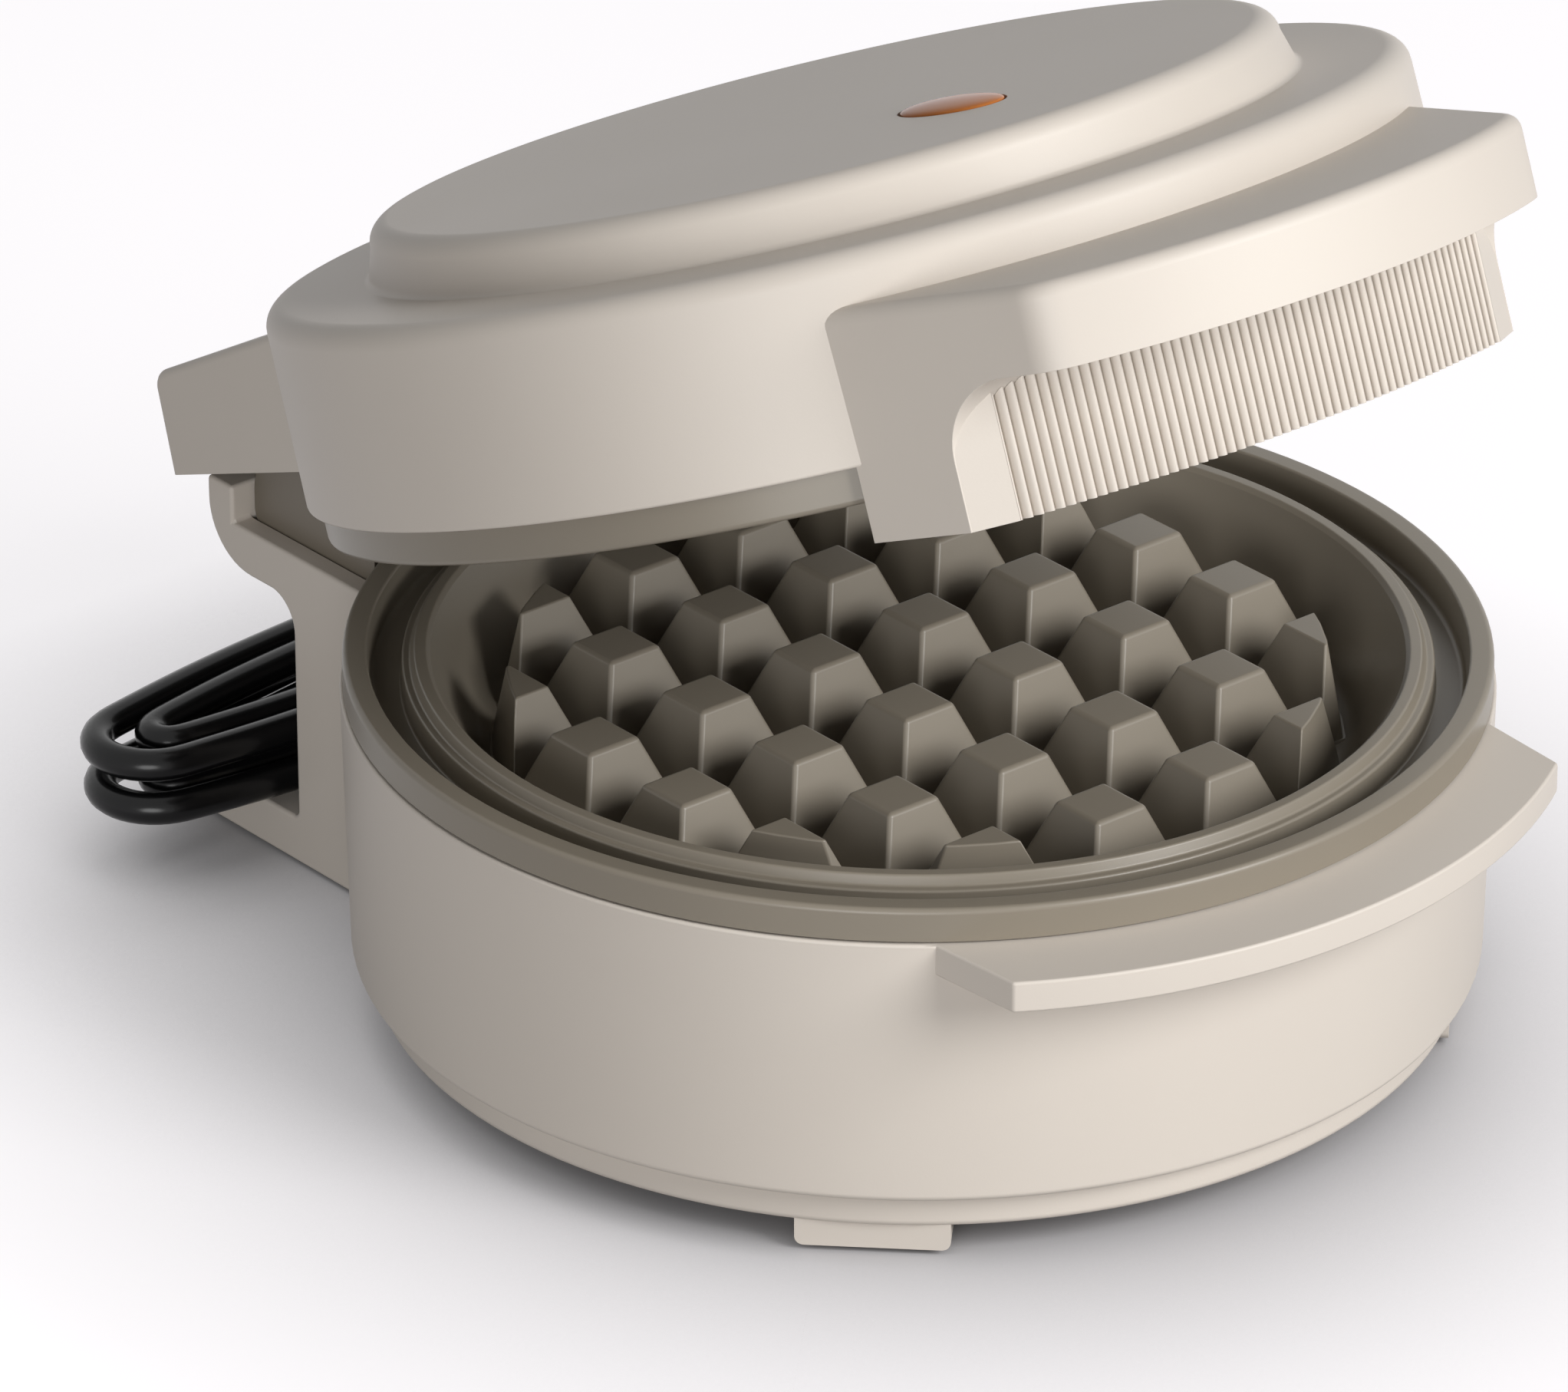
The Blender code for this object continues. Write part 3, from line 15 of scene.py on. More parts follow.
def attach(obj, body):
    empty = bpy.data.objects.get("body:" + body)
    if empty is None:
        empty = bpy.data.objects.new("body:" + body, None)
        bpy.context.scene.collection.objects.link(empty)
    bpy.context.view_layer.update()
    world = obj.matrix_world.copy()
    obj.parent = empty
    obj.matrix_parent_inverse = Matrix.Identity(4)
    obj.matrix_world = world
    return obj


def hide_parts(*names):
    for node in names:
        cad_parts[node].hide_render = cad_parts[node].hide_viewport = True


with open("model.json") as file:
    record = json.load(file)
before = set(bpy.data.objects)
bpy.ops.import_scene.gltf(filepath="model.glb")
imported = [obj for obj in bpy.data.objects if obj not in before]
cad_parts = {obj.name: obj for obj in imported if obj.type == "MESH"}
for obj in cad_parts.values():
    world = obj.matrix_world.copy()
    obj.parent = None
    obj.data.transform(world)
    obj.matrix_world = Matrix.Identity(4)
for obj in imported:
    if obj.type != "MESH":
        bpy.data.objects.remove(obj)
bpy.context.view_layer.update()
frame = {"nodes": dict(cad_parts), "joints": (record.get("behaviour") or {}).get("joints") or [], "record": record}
print("nodes in the frame:", len(frame["nodes"]))

# %% [markdown]
# Everything round is drawn about the drum's own axis, with the lid closed, and is moved to its place
# afterwards. The hinge in the frame says where that axis stands and how far the lid is open.

# %% Places that every piece shares
hinge = next(joint for joint in frame["joints"] if joint["name"] == "lid_hinge")
hinge_y = 0.0877
hinge_z = hinge["pos_m"][2]
axis_y = hinge["pos_m"][1] - hinge_y
open_angle = -math.radians(hinge["range_deg"][0])
on_base = Matrix.Translation((0.0, axis_y, 0.0))
on_lid = (
    Matrix.Translation((0.0, axis_y + hinge_y, hinge_z))
    @ Matrix.Rotation(-open_angle, 4, "X")
    @ Matrix.Translation((0.0, -hinge_y, -hinge_z))
)
print(f"drum axis at y {axis_y:.5f} m, lid open {math.degrees(open_angle):.2f} degrees")

# %% [markdown]
# The photograph was taken with a long lens from the front left and above. The camera is set by two
# angles, a distance and a small slide sideways and down, with the little roll that the picture has.

# %% Camera
picture_width = 2044
camera_azimuth = math.radians(-39.81)
camera_elevation = math.radians(26.90)
camera_roll = -0.001815
camera_distance = 1.419057
camera_lens = 249.77
camera_slide = 0.017831
camera_drop = 0.0035115
camera_target_z = 0.0468
principal_right = -3.8
principal_down = 4.8


def aim_camera():
    turn, lift = camera_azimuth, camera_elevation
    right = Vector((math.cos(turn), math.sin(turn), 0.0))
    back = Vector((math.sin(turn) * math.cos(lift), -math.cos(turn) * math.cos(lift), math.sin(lift)))
    up = back.cross(right)
    place = Vector((0.0, axis_y, camera_target_z)) - camera_slide * right - camera_drop * up
    place += camera_distance * back
    data = bpy.data.cameras.new("camera")
    data.lens = camera_lens
    data.shift_x = -principal_right / picture_width
    data.shift_y = principal_down / picture_width
    camera = bpy.data.objects.new("camera", data)
    bpy.context.scene.collection.objects.link(camera)
    frame_axes = Matrix((right, up, back)).transposed().to_4x4()
    camera.matrix_world = Matrix.Translation(place) @ frame_axes @ Matrix.Rotation(camera_roll, 4, "Z")
    bpy.context.scene.camera = camera
    return camera


print("camera at", [round(v, 4) for v in aim_camera().location])

# %% [markdown]
# Small functions serve every material. One turns a hex colour, as a colour picker shows it, to the
# linear values that Blender works in, and one adds a node with its settings and its links. All the
# finishes are built alike: moulded and coated surfaces are never one flat colour, so tint and gloss
# drift slowly over 3 cm, and a fine grain lies in the bump. A Mix node has its colours in sockets 6 and
# 7, and gives their blend in 2.

# %% Colour and node helpers
drift_size = 0.03


def linear(hex_colour):
    values = [int(hex_colour[i:i + 2], 16) / 255 for i in (1, 3, 5)]
    values = [v / 12.92 if v <= 0.04045 else ((v + 0.055) / 1.055) ** 2.4 for v in values]
    return (*values, 1.0)


def add_node(tree, kind, settings=None, links=None):
    node = tree.nodes.new(kind)
    for key, value in (settings or {}).items():
        if isinstance(key, int) or key in node.inputs:
            node.inputs[key].default_value = value
        else:
            setattr(node, key, value)
    for key, source in (links or {}).items():
        tree.links.new(source, node.inputs[key])
    return node


def empty_tree(owner):
    owner.use_nodes = True
    owner.node_tree.nodes.clear()
    return owner.node_tree


def surface(name, tints, roughness, metallic=0.0, grain=0.0004, grain_depth=0.00002, **sockets):
    """A material with slow drifts of tint and gloss, and a fine grain in its bump."""
    material = bpy.data.materials.new(name)
    tree = empty_tree(material)
    place = add_node(tree, "ShaderNodeTexCoord").outputs["Object"]
    drift = add_node(tree, "ShaderNodeTexNoise", {"Scale": 1 / drift_size, "Detail": 3.0}, {"Vector": place})
    fine = add_node(tree, "ShaderNodeTexNoise", {"Scale": 1 / grain, "Detail": 2.0}, {"Vector": place})
    colours = {"data_type": "RGBA", 6: linear(tints[0]), 7: linear(tints[1])}
    tint = add_node(tree, "ShaderNodeMix", colours, {0: drift.outputs["Fac"]})
    gloss = {"To Min": roughness[0], "To Max": roughness[1]}
    spread = add_node(tree, "ShaderNodeMapRange", gloss, {"Value": drift.outputs["Fac"]})
    relief = {"Distance": grain_depth, "Strength": 1.0}
    bump = add_node(tree, "ShaderNodeBump", relief, {"Height": fine.outputs["Fac"]})
    shader = add_node(tree, "ShaderNodeBsdfPrincipled", {"Metallic": metallic, **sockets}, {
        "Base Color": tint.outputs[2],
        "Roughness": spread.outputs["Result"],
        "Normal": bump.outputs["Normal"],
    })
    add_node(tree, "ShaderNodeOutputMaterial", links={"Surface": shader.outputs["BSDF"]})
    return material


# %% [markdown]
# Each finish starts from the real one and how its surface was made, with that material's usual IOR and
# roughness, which were then matched to the photograph. The grain on the real parts is about 0.1 mm;
# it is drawn at 0.35 mm and more, so that it still shows.

# %% Materials
materials = {
    # ABS from a spark-eroded mould: an even satin with no clear mirror image in it.
    "warm_cream_plastic": surface(
        "satin_moulded_abs", ("#CDC4BA", "#D1C9BF"), (0.42, 0.48), grain=0.00035, grain_depth=0.000008,
        IOR=1.53, **{"Specular IOR Level": 0.3}
    ),
    # Ceramic coat sprayed on cast aluminium: smooth, with a tight highlight along each round edge.
    "taupe_ceramic": surface(
        "sprayed_taupe_ceramic", ("#7F776A", "#857D70"), (0.33, 0.39), grain=0.0006, grain_depth=0.000006,
        IOR=1.50, **{"Specular IOR Level": 0.42}
    ),
    # Taupe ABS from a rougher mould: wide, weak highlights, and a tint darker than the plates' as painted shade.
    "shaded_taupe_plastic": surface(
        "taupe_abs_with_painted_shade", ("#6C6458", "#726A5E"), (0.46, 0.52), grain=0.00035, grain_depth=0.00001,
        IOR=1.53
    ),
    # Rolled steel: a metal's coloured mirror, a little blurred by the rolling.
    "bright_steel": surface(
        "bright_rolled_steel", ("#C4C4C2", "#CECECC"), (0.26, 0.36), 1.0, grain=0.0003, grain_depth=0.000004
    ),
    # Plated brass: a warmer and clearer mirror than the steel.
    "nickel_brass": surface(
        "nickel_plated_brass", ("#D8D0BC", "#DED6C4"), (0.22, 0.30), 1.0, grain=0.0003, grain_depth=0.000003
    ),
    # Moulded rubber: dull, with hardly a highlight.
    "dark_rubber": surface(
        "moulded_dark_rubber", ("#2A2928", "#302F2D"), (0.66, 0.74), grain=0.0005, grain_depth=0.00003
    ),
    # Extruded PVC: drawn smooth, so long bright lines run along the cord.
    "black_cord": surface(
        "extruded_black_pvc", ("#0C0C0D", "#111112"), (0.20, 0.26), grain=0.0008, grain_depth=0.000008,
        IOR=1.52, **{"Specular IOR Level": 0.25}
    ),
    # Moulded acrylic, unlit: a deep orange with a small sharp highlight.
    "amber_lens": surface(
        "tinted_amber_acrylic", ("#CC7A3A", "#D2803F"), (0.16, 0.20), grain=0.002, grain_depth=0.00001,
        IOR=1.49, **{"Specular IOR Level": 0.06}
    ),
    # Moulded nylon: off-white and waxy.
    "white_nylon": surface(
        "natural_nylon", ("#DEDCD4", "#E3E1DA"), (0.46, 0.52), grain=0.0004, grain_depth=0.00001
    ),
    # Drawn glass of the small lamp: very smooth and bright.
    "lamp_glass": surface(
        "clear_lamp_glass", ("#E6C8AE", "#EACDB4"), (0.08, 0.12), grain=0.001, grain_depth=0.000004, IOR=1.47
    ),
}
print("materials:", len(materials))

# %% [markdown]
# Pieces that nobody sees assembled, such as the plates' screws, the heating elements and the thermostat,
# keep their frame shape and only take their material. Every node takes one, so that none is left bare.

# %% Finish of the pieces that keep their frame shape
for part in frame["record"]["subparts"]:
    node = frame["nodes"][part["node"]]
    node.data.materials.clear()
    node.data.materials.append(materials[part["material_slot"]])

# %% [markdown]
# Hard pieces are made as a machinist would: simple solids, joined and cut. Each bmesh becomes an object
# with its doubles merged and its faces turned outwards, and the exact Boolean modifier is applied at
# once, so no piece depends on another later. The gap is the room between fitted pieces, and a cutter
# runs past what it cuts by the overrun.

# %% Objects, joins and cuts
merge_distance = 0.000003
flat_angle = math.radians(0.2)
gap = 0.0003
overrun = 0.003
round_steps = 144


def finish_mesh(bm, name="shape"):
    bmesh.ops.remove_doubles(bm, verts=bm.verts, dist=merge_distance)
    bmesh.ops.recalc_face_normals(bm, faces=bm.faces)
    mesh = bpy.data.meshes.new(name)
    bm.to_mesh(mesh)
    bm.free()
    shape = bpy.data.objects.new(name, mesh)
    bpy.context.scene.collection.objects.link(shape)
    return shape


def as_bmesh(shape):
    """The mesh that an object's modifiers make, as a bmesh; the object is removed."""
    graph = bpy.context.evaluated_depsgraph_get()
    mesh = bpy.data.meshes.new_from_object(shape.evaluated_get(graph))
    bm = bmesh.new()
    bm.from_mesh(mesh)
    bpy.data.objects.remove(shape, do_unlink=True)
    return bm


def combined(body, tool, operation):
    modifier = body.modifiers.new(operation.lower(), "BOOLEAN")
    modifier.operation = operation
    modifier.object = tool
    graph = bpy.context.evaluated_depsgraph_get()
    body_mesh = bpy.data.meshes.new_from_object(body.evaluated_get(graph))
    body.modifiers.clear()
    body.data = body_mesh
    bpy.data.objects.remove(tool, do_unlink=True)
    return body


def cut(body, tool):
    return combined(body, tool, "DIFFERENCE")


def joined(body, tool):
    return combined(body, tool, "UNION")


def common(body, tool):
    return combined(body, tool, "INTERSECT")


# %% [markdown]
# Nearly every form starts as an outline. These give points on a circle, an arc, and an outline whose
# corners are rounded, as a draughtsman draws them.

# %% Outlines


def point_on(radius, angle):
    """A point in plan at an angle from the front, positive towards +X."""
    return (radius * math.sin(angle), -radius * math.cos(angle))


def arc(centre, radius, first, last, steps=8):
    """Points from one angle to another, in degrees, on a circle."""
    turns = [math.radians(first + (last - first) * i / steps) for i in range(steps + 1)]
    return [(centre[0] + radius * math.cos(a), centre[1] + radius * math.sin(a)) for a in turns]


def rounded(corners, steps=8):
    """An outline's points; each corner is (a, b) or (a, b, fillet radius)."""
    outline = []
    for i, corner in enumerate(corners):
        here = Vector(corner[:2])
        if len(corner) == 2:
            outline.append(tuple(here))
            continue
        before = (Vector(corners[i - 1][:2]) - here).normalized()
        after = (Vector(corners[(i + 1) % len(corners)][:2]) - here).normalized()
        half = before.angle(after) / 2
        centre = here + (before + after).normalized() * corner[2] / math.sin(half)
        start = here + before * corner[2] / math.tan(half) - centre
        turn = math.pi - 2 * half
        if start.x * before.y - start.y * before.x > 0:
            turn = -turn
        for step in range(steps + 1):
            outline.append(tuple(centre + Matrix.Rotation(turn * step / steps, 2) @ start))
    return outline


# %% [markdown]
# A turned piece is an outline spun round the axis, as on a lathe, and a flat piece is an outline drawn
# out. Rods and blocks mostly serve as cutters.

# %% Solids


def spun(profile, steps=round_steps):
    """A turned solid from (radius, height) points; an open middle is closed flat."""
    bm = bmesh.new()
    points = [bm.verts.new((radius, 0.0, height)) for radius, height in profile]
    edges = [bm.edges.new(pair) for pair in zip(points, points[1:])]
    bmesh.ops.spin(
        bm, geom=points + edges, cent=(0, 0, 0), axis=(0, 0, 1), angle=math.tau, steps=steps, use_merge=True
    )
    bmesh.ops.remove_doubles(bm, verts=bm.verts, dist=merge_distance)
    bmesh.ops.holes_fill(bm, edges=bm.edges, sides=0)
    return finish_mesh(bm)


def rod(radius, low, high, centre=(0.0, 0.0), axis="Z", steps=32, end_radius=None):
    """A cylinder or cone along an axis; centre holds the other two coordinates."""
    bm = bmesh.new()
    end_radius = radius if end_radius is None else end_radius
    bmesh.ops.create_cone(
        bm, cap_ends=True, segments=steps, radius1=radius, radius2=end_radius, depth=high - low
    )
    middle = (low + high) / 2
    places = {
        "Z": Matrix.Translation((*centre, middle)),
        "Y": Matrix.Translation((centre[0], middle, centre[1])) @ Matrix.Rotation(-math.pi / 2, 4, "X"),
        "X": Matrix.Translation((middle, *centre)) @ Matrix.Rotation(math.pi / 2, 4, "Y"),
    }
    bmesh.ops.transform(bm, matrix=places[axis], verts=bm.verts)
    return finish_mesh(bm)


def block(low, high):
    bm = bmesh.new()
    bmesh.ops.create_cube(bm, size=1.0)
    bmesh.ops.scale(bm, vec=Vector(high) - Vector(low), verts=bm.verts)
    bmesh.ops.translate(bm, vec=(Vector(high) + Vector(low)) / 2, verts=bm.verts)
    return finish_mesh(bm)


def drawn(outline, low, high, axis="Z"):
    """A flat outline drawn out between two places on an axis."""
    places = {"Z": lambda a, b: (a, b, low), "X": lambda a, b: (low, a, b)}
    way = {"Z": (0, 0, high - low), "X": (high - low, 0, 0)}[axis]
    bm = bmesh.new()
    face = bm.faces.new([bm.verts.new(places[axis](a, b)) for a, b in outline])
    grown = bmesh.ops.extrude_face_region(bm, geom=[face])
    tops = [item for item in grown["geom"] if isinstance(item, bmesh.types.BMVert)]
    bmesh.ops.translate(bm, vec=way, verts=tops)
    return finish_mesh(bm)


# %% [markdown]
# Nothing moulded or cast has a knife edge, so edges are bevelled while a solid is still simple. The last
# function moves the mesh itself to its place, so that each object stays at the origin. It also weights
# the normals by area, so that a flat face stays flat right up to its rounded edge.

# %% Edges, places and finishes
normal_weight = 90


def is_sharp(edge, limit):
    return len(edge.link_faces) == 2 and edge.calc_face_angle() > math.radians(limit)


def bevelled(bm, edges, width, segments):
    bmesh.ops.bevel(
        bm, geom=edges, offset=width, segments=segments, profile=0.5, affect="EDGES", material=-1,
        clamp_overlap=True,
    )
    return finish_mesh(bm)


def softened(shape, width, segments=4, limit=30, merge=merge_distance):
    """Rounds the edges of a solid that are sharper than an angle."""
    bm = as_bmesh(shape)
    bmesh.ops.remove_doubles(bm, verts=bm.verts, dist=merge)
    bmesh.ops.dissolve_limit(bm, angle_limit=flat_angle, verts=bm.verts, edges=bm.edges)
    return bevelled(bm, [edge for edge in bm.edges if is_sharp(edge, limit)], width, segments)


def placed(shape, name, body, place, slot, *nodes, sharp=32):
    """Names a finished piece, moves its mesh to its place, gives it body and finish, and hides its frame nodes."""
    shape.data.transform(place)
    shape.name = name
    shape.data.name = name
    shape.data.materials.clear()
    shape.data.materials.append(materials[slot])
    shape.data.shade_smooth()
    shape.data.set_sharp_from_angle(angle=math.radians(sharp))
    modifier = shape.modifiers.new("weighted_normals", "WEIGHTED_NORMAL")
    modifier.keep_sharp = True
    modifier.weight = normal_weight
    graph = bpy.context.evaluated_depsgraph_get()
    mesh = bpy.data.meshes.new_from_object(shape.evaluated_get(graph))
    shape.modifiers.clear()
    shape.data = mesh
    mesh.name = name
    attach(shape, body)
    if nodes:
        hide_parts(*nodes)
    triangles = sum(len(face.vertices) - 2 for face in shape.data.polygons)
    print(f"{name}: {triangles} triangles")
    return shape


# %% [markdown]
# The cord is a round PVC-sheathed lead, 4.5 mm thick and 0.91 m long. It leaves a tapered sleeve
# behind the neck, is wound four times into a flat hank that spirals in and, a layer lower, out again,
# and ends at its plug. The points of the free stretches are listed, the hank's come from a formula, and
# one smooth curve runs through them all.

# %% Cord's route
cord_radius = 0.00225
lead_route = (
    (0.0300, 0.1010, 0.0275), (0.0300, 0.1021, 0.0275), (0.0300, 0.1066, 0.0273), (0.0291, 0.1104, 0.0257),
    (0.0262, 0.1124, 0.0224), (0.0213, 0.1119, 0.0187), (0.0155, 0.1107, 0.0174), (0.0108, 0.1102, 0.0173),
)
tail_route = (
    (0.0483, 0.1029, 0.0103), (0.0500, 0.1080, 0.0100), (0.0534, 0.1134, 0.0094), (0.0586, 0.1173, 0.0087),
    (0.0649, 0.1186, 0.0082), (0.0712, 0.1166, 0.0078), (0.0758, 0.1123, 0.0074), (0.0785, 0.1083, 0.0072),
    (0.0795, 0.1047, 0.0072), (0.0795, 0.1000, 0.0072), (0.0795, 0.0985, 0.0072),
)
hank_left_x, hank_left_low_x, hank_right_x = -0.0532, -0.0540, 0.0320
hank_left_y, hank_right_y = 0.0955, 0.0980
hank_left_radius, hank_right_radius = 0.0078, 0.0125
hank_left_step, hank_pitch, hank_bow = 0.0027, 0.0050, 0.0014
hank_high_z, hank_low_z = 0.0175, 0.0103
hank_left_high_z, hank_left_low_z = 0.0168, 0.0112
hank_loops, hank_loop_points, hank_fold_points = 4, 24, 8
hank_first_point, hank_drop_point, hank_drop_points = 5, 52, 4
hank_steps, cord_spacing, cord_rounds = 8, 0.0012, 3


def hank_point(index):
    """Middle of the cord at a numbered point of the hank, a wedge that is wider on the right."""
    turn = index / hank_loop_points
    share = min(max((index - hank_drop_point) / hank_drop_points, 0.0), 1.0)
    inset = (turn - 0.5) * (1.0 - share) + (hank_loops - 0.5 - turn) * share
    left_x = hank_left_x + (hank_left_low_x - hank_left_x) * share
    left = Vector((left_x + hank_left_step * inset, hank_left_y))
    right = Vector((hank_right_x, hank_right_y))
    part = (index + hank_fold_points / 2) % hank_loop_points - hank_fold_points / 2
    fold = hank_fold_points
    run = hank_loop_points / 2 - fold
    along = 0.0
    if part <= fold / 2:
        angle = math.pi * part / fold
    elif part < fold / 2 + run:
        angle = math.pi / 2
        along = (part - fold / 2) / run
    elif part <= fold * 1.5 + run:
        angle = math.pi / 2 + math.pi * (part - fold / 2 - run) / fold
        along = 1.0
    else:
        angle = -math.pi / 2
        along = 1.0 - (part - fold * 1.5 - run) / run
    way = Vector((math.cos(angle), math.sin(angle)))
    bow = hank_bow * math.sin(math.pi * along**2)
    left += way * (hank_left_radius - inset * hank_pitch + bow)
    right += way * (hank_right_radius - inset * hank_pitch + bow)
    left_z = hank_left_high_z + (hank_left_low_z - hank_left_high_z) * share
    right_z = hank_high_z + (hank_low_z - hank_high_z) * share
    return Vector((*right, right_z)).lerp(Vector((*left, left_z)), along)


# %% [markdown]
# A smooth-looking cord needs points at even distances, so the route is walked in steps of 1.2 mm, and
# three rounds of averaging ease its corners. The curve's own bevel gives the round section.

# %% Cord


def smooth_line(points):
    """A line through the points at even distances, with its corners eased."""
    line, left = [points[0]], cord_spacing
    for here, there in zip(points, points[1:]):
        run, spot = (there - here).length, 0.0
        while run - spot >= left:
            spot += left
            line.append(here.lerp(there, spot / run))
            left = cord_spacing
        left -= run - spot
    for _ in range(cord_rounds):
        middle = [(a + 2 * b + c) / 4 for a, b, c in zip(line, line[1:], line[2:])]
        line = [line[0], *middle, line[-1]]
    return line


def power_cord():
    numbers = range(hank_first_point * hank_steps, hank_loops * hank_loop_points * hank_steps + 1)
    hank = [hank_point(number / hank_steps) for number in numbers]
    line = [Vector(p) for p in lead_route] + hank + [Vector(p) for p in tail_route]
    line = [on_base @ point for point in smooth_line(line)]
    data = bpy.data.curves.new("power_cord", "CURVE")
    data.dimensions = "3D"
    data.bevel_depth = cord_radius
    data.bevel_resolution = 6
    data.use_fill_caps = True
    spline = data.splines.new("POLY")
    spline.points.add(len(line) - 1)
    for point, spot in zip(spline.points, line):
        point.co = (*spot, 1.0)
    spline.use_smooth = True
    cord = bpy.data.objects.new("power_cord", data)
    bpy.context.scene.collection.objects.link(cord)
    data.materials.append(materials["black_cord"])
    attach(cord, "base")
    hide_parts("cord_lead", "cord_hank", "cord_tail")
    length = sum((b - a).length for a, b in zip(line, line[1:]))
    print(f"cord: {length:.3f} m in {len(line)} points")
    return cord, line[0], length


cord, cord_exit, cord_length = power_cord()

# %% [markdown]
# The sleeve keeps the cord from bending sharply where it leaves the neck. It is soft moulded rubber
# with a flange on the panel, and rings that let it flex, so its outline steps in and out as it tapers.

# %% Cord sleeve
neck_rear_y = 0.0800
neck_wall = 0.0031
sleeve_x, sleeve_z = 0.0300, 0.0275
sleeve_head_radius, sleeve_head_length = 0.0048, 0.0020
sleeve_neck_radius = 0.0034
sleeve_flange_radius, sleeve_flange_length = 0.0046, 0.0015
sleeve_root_radius, sleeve_tip_radius, sleeve_length = 0.0040, 0.0030, 0.0200
sleeve_rings = 5
sleeve_groove = 0.0005
sleeve_ring_steps = ((0.0, 0.0), (0.55, 0.0), (0.62, sleeve_groove), (0.93, sleeve_groove))


def cord_sleeve():
    inner = neck_rear_y - neck_wall - gap
    outer = neck_rear_y + gap
    flange_end = outer + sleeve_flange_length
    profile = [
        (cord_radius, inner - sleeve_head_length), (sleeve_head_radius, inner - sleeve_head_length),
        (sleeve_head_radius, inner), (sleeve_neck_radius, inner), (sleeve_neck_radius, outer),
        (sleeve_flange_radius, outer), (sleeve_flange_radius, flange_end),
    ]
    for ring in range(sleeve_rings):
        for part, inset in sleeve_ring_steps:
            share = (ring + part) / sleeve_rings
            radius = sleeve_root_radius + (sleeve_tip_radius - sleeve_root_radius) * share - inset
            profile.append((radius, flange_end + sleeve_length * share))
    profile += [(sleeve_tip_radius, flange_end + sleeve_length), (cord_radius, flange_end + sleeve_length)]
    shape = spun(profile, 48)
    turn = Matrix.Translation((sleeve_x, 0.0, sleeve_z)) @ Matrix.Rotation(-math.pi / 2, 4, "X")
    return placed(shape, "cord_sleeve", "base", on_base @ turn, "dark_rubber", "strain_relief")


sleeve = cord_sleeve()

# %% [markdown]
# The plug is moulded on the cord in the same black PVC: a rounded block with a tapered neck, and two
# flat blades of plated brass, which keep their frame shape.

# %% Plug
plug_x, plug_z, plug_neck_y = 0.0795, 0.0072, 0.1000
plug_neck_length, plug_neck_radius, plug_neck_root_radius = 0.0110, 0.0032, 0.0055
plug_length, plug_width, plug_thickness, plug_bevel = 0.0240, 0.0200, 0.0140, 0.0025


def plug_shell():
    end = plug_neck_y - gap
    face = end - plug_neck_length
    low = (plug_x - plug_width / 2, face - plug_length, plug_z - plug_thickness / 2)
    high = (plug_x + plug_width / 2, face, plug_z + plug_thickness / 2)
    body = softened(block(low, high), plug_bevel, 6)
    neck = rod(plug_neck_root_radius, face - overrun, end, (plug_x, plug_z), "Y", 48, plug_neck_radius)
    return placed(joined(body, neck), "plug_shell", "base", on_base, "black_cord", "plug_body")


plug = plug_shell()

# %% [markdown]
# The base is a drum with a slight draft towards its foot, so that it leaves its mould. A flat lip in
# front of it carries the handle's legs. The drum's outline is spun, and the lip is an outline drawn
# out, with an arc in front and straight slanting ends, cut back inside the drum and joined to it.

# %% Base drum and its lip
drum_radius, drum_draft, drum_wall = 0.0754, 0.0008, 0.0024
drum_bottom_z, drum_fillet, housing_top_z = 0.0095, 0.0011, 0.0468
drum_edge = 0.0004
lip_radius, lip_thickness, lip_root_radius = 0.0859, 0.0043, 0.0700
lip_root_angle, lip_tip_angle = math.radians(43.0), math.radians(32.6)
lip_bevel = 0.0004


def drum_shell():
    foot = drum_radius - drum_draft
    inner = drum_radius - drum_wall
    profile = arc((drum_radius - drum_edge, housing_top_z - drum_edge), drum_edge, 90, 0, 4)
    profile += arc((foot - drum_fillet, drum_bottom_z + drum_fillet), drum_fillet, 0, -90)
    profile += [(foot - drum_wall, drum_bottom_z), (inner, housing_top_z), profile[0]]
    body = spun(profile)
    steps = 64
    outline = [point_on(lip_radius, lip_tip_angle * (2 * i / steps - 1)) for i in range(steps + 1)]
    outline += [point_on(lip_root_radius, lip_root_angle), point_on(lip_root_radius, -lip_root_angle)]
    lip = softened(drawn(outline, housing_top_z - lip_thickness, housing_top_z), lip_bevel, 3, 25)
    lip = cut(lip, rod(drum_radius - drum_wall / 3, 0.0, housing_top_z + overrun, steps=round_steps))
    return placed(joined(body, lip), "drum_shell", "base", on_base, "warm_cream_plastic", "base_housing")


drum_shell()

# %% [markdown]
# The bottom cover is a thin tray under the drum with four foot tabs on its edge. The tabs' lower
# corners are rounded, and each holds a round rubber pad. A narrow dark gap shows between the drum and
# the tray's wall, because the wall stands a little further in.

# %% Bottom cover and foot pads
cover_radius, cover_wall, cover_chamfer = 0.0718, 0.0020, 0.0011
cover_bottom_z, cover_top_z = 0.0044, 0.0120
foot_count = 4
foot_first_angle = math.radians(45)
tab_width, tab_depth, tab_bottom_z, tab_fillet = 0.0199, 0.0105, 0.0008, 0.0012
pad_radius, pad_height, pad_edge, pad_circle_radius = 0.0040, 0.0018, 0.0004, 0.0654
screw_circle_radius, screw_first_angle = 0.0665, math.radians(22.5)
screw_radius, screw_head_radius, screw_head_height, screw_length = 0.0014, 0.0026, 0.0016, 0.0150
screw_tower_radius = 0.0039


def round_places(radius, count, first_angle):
    return [point_on(radius, first_angle + math.tau * i / count) for i in range(count)]


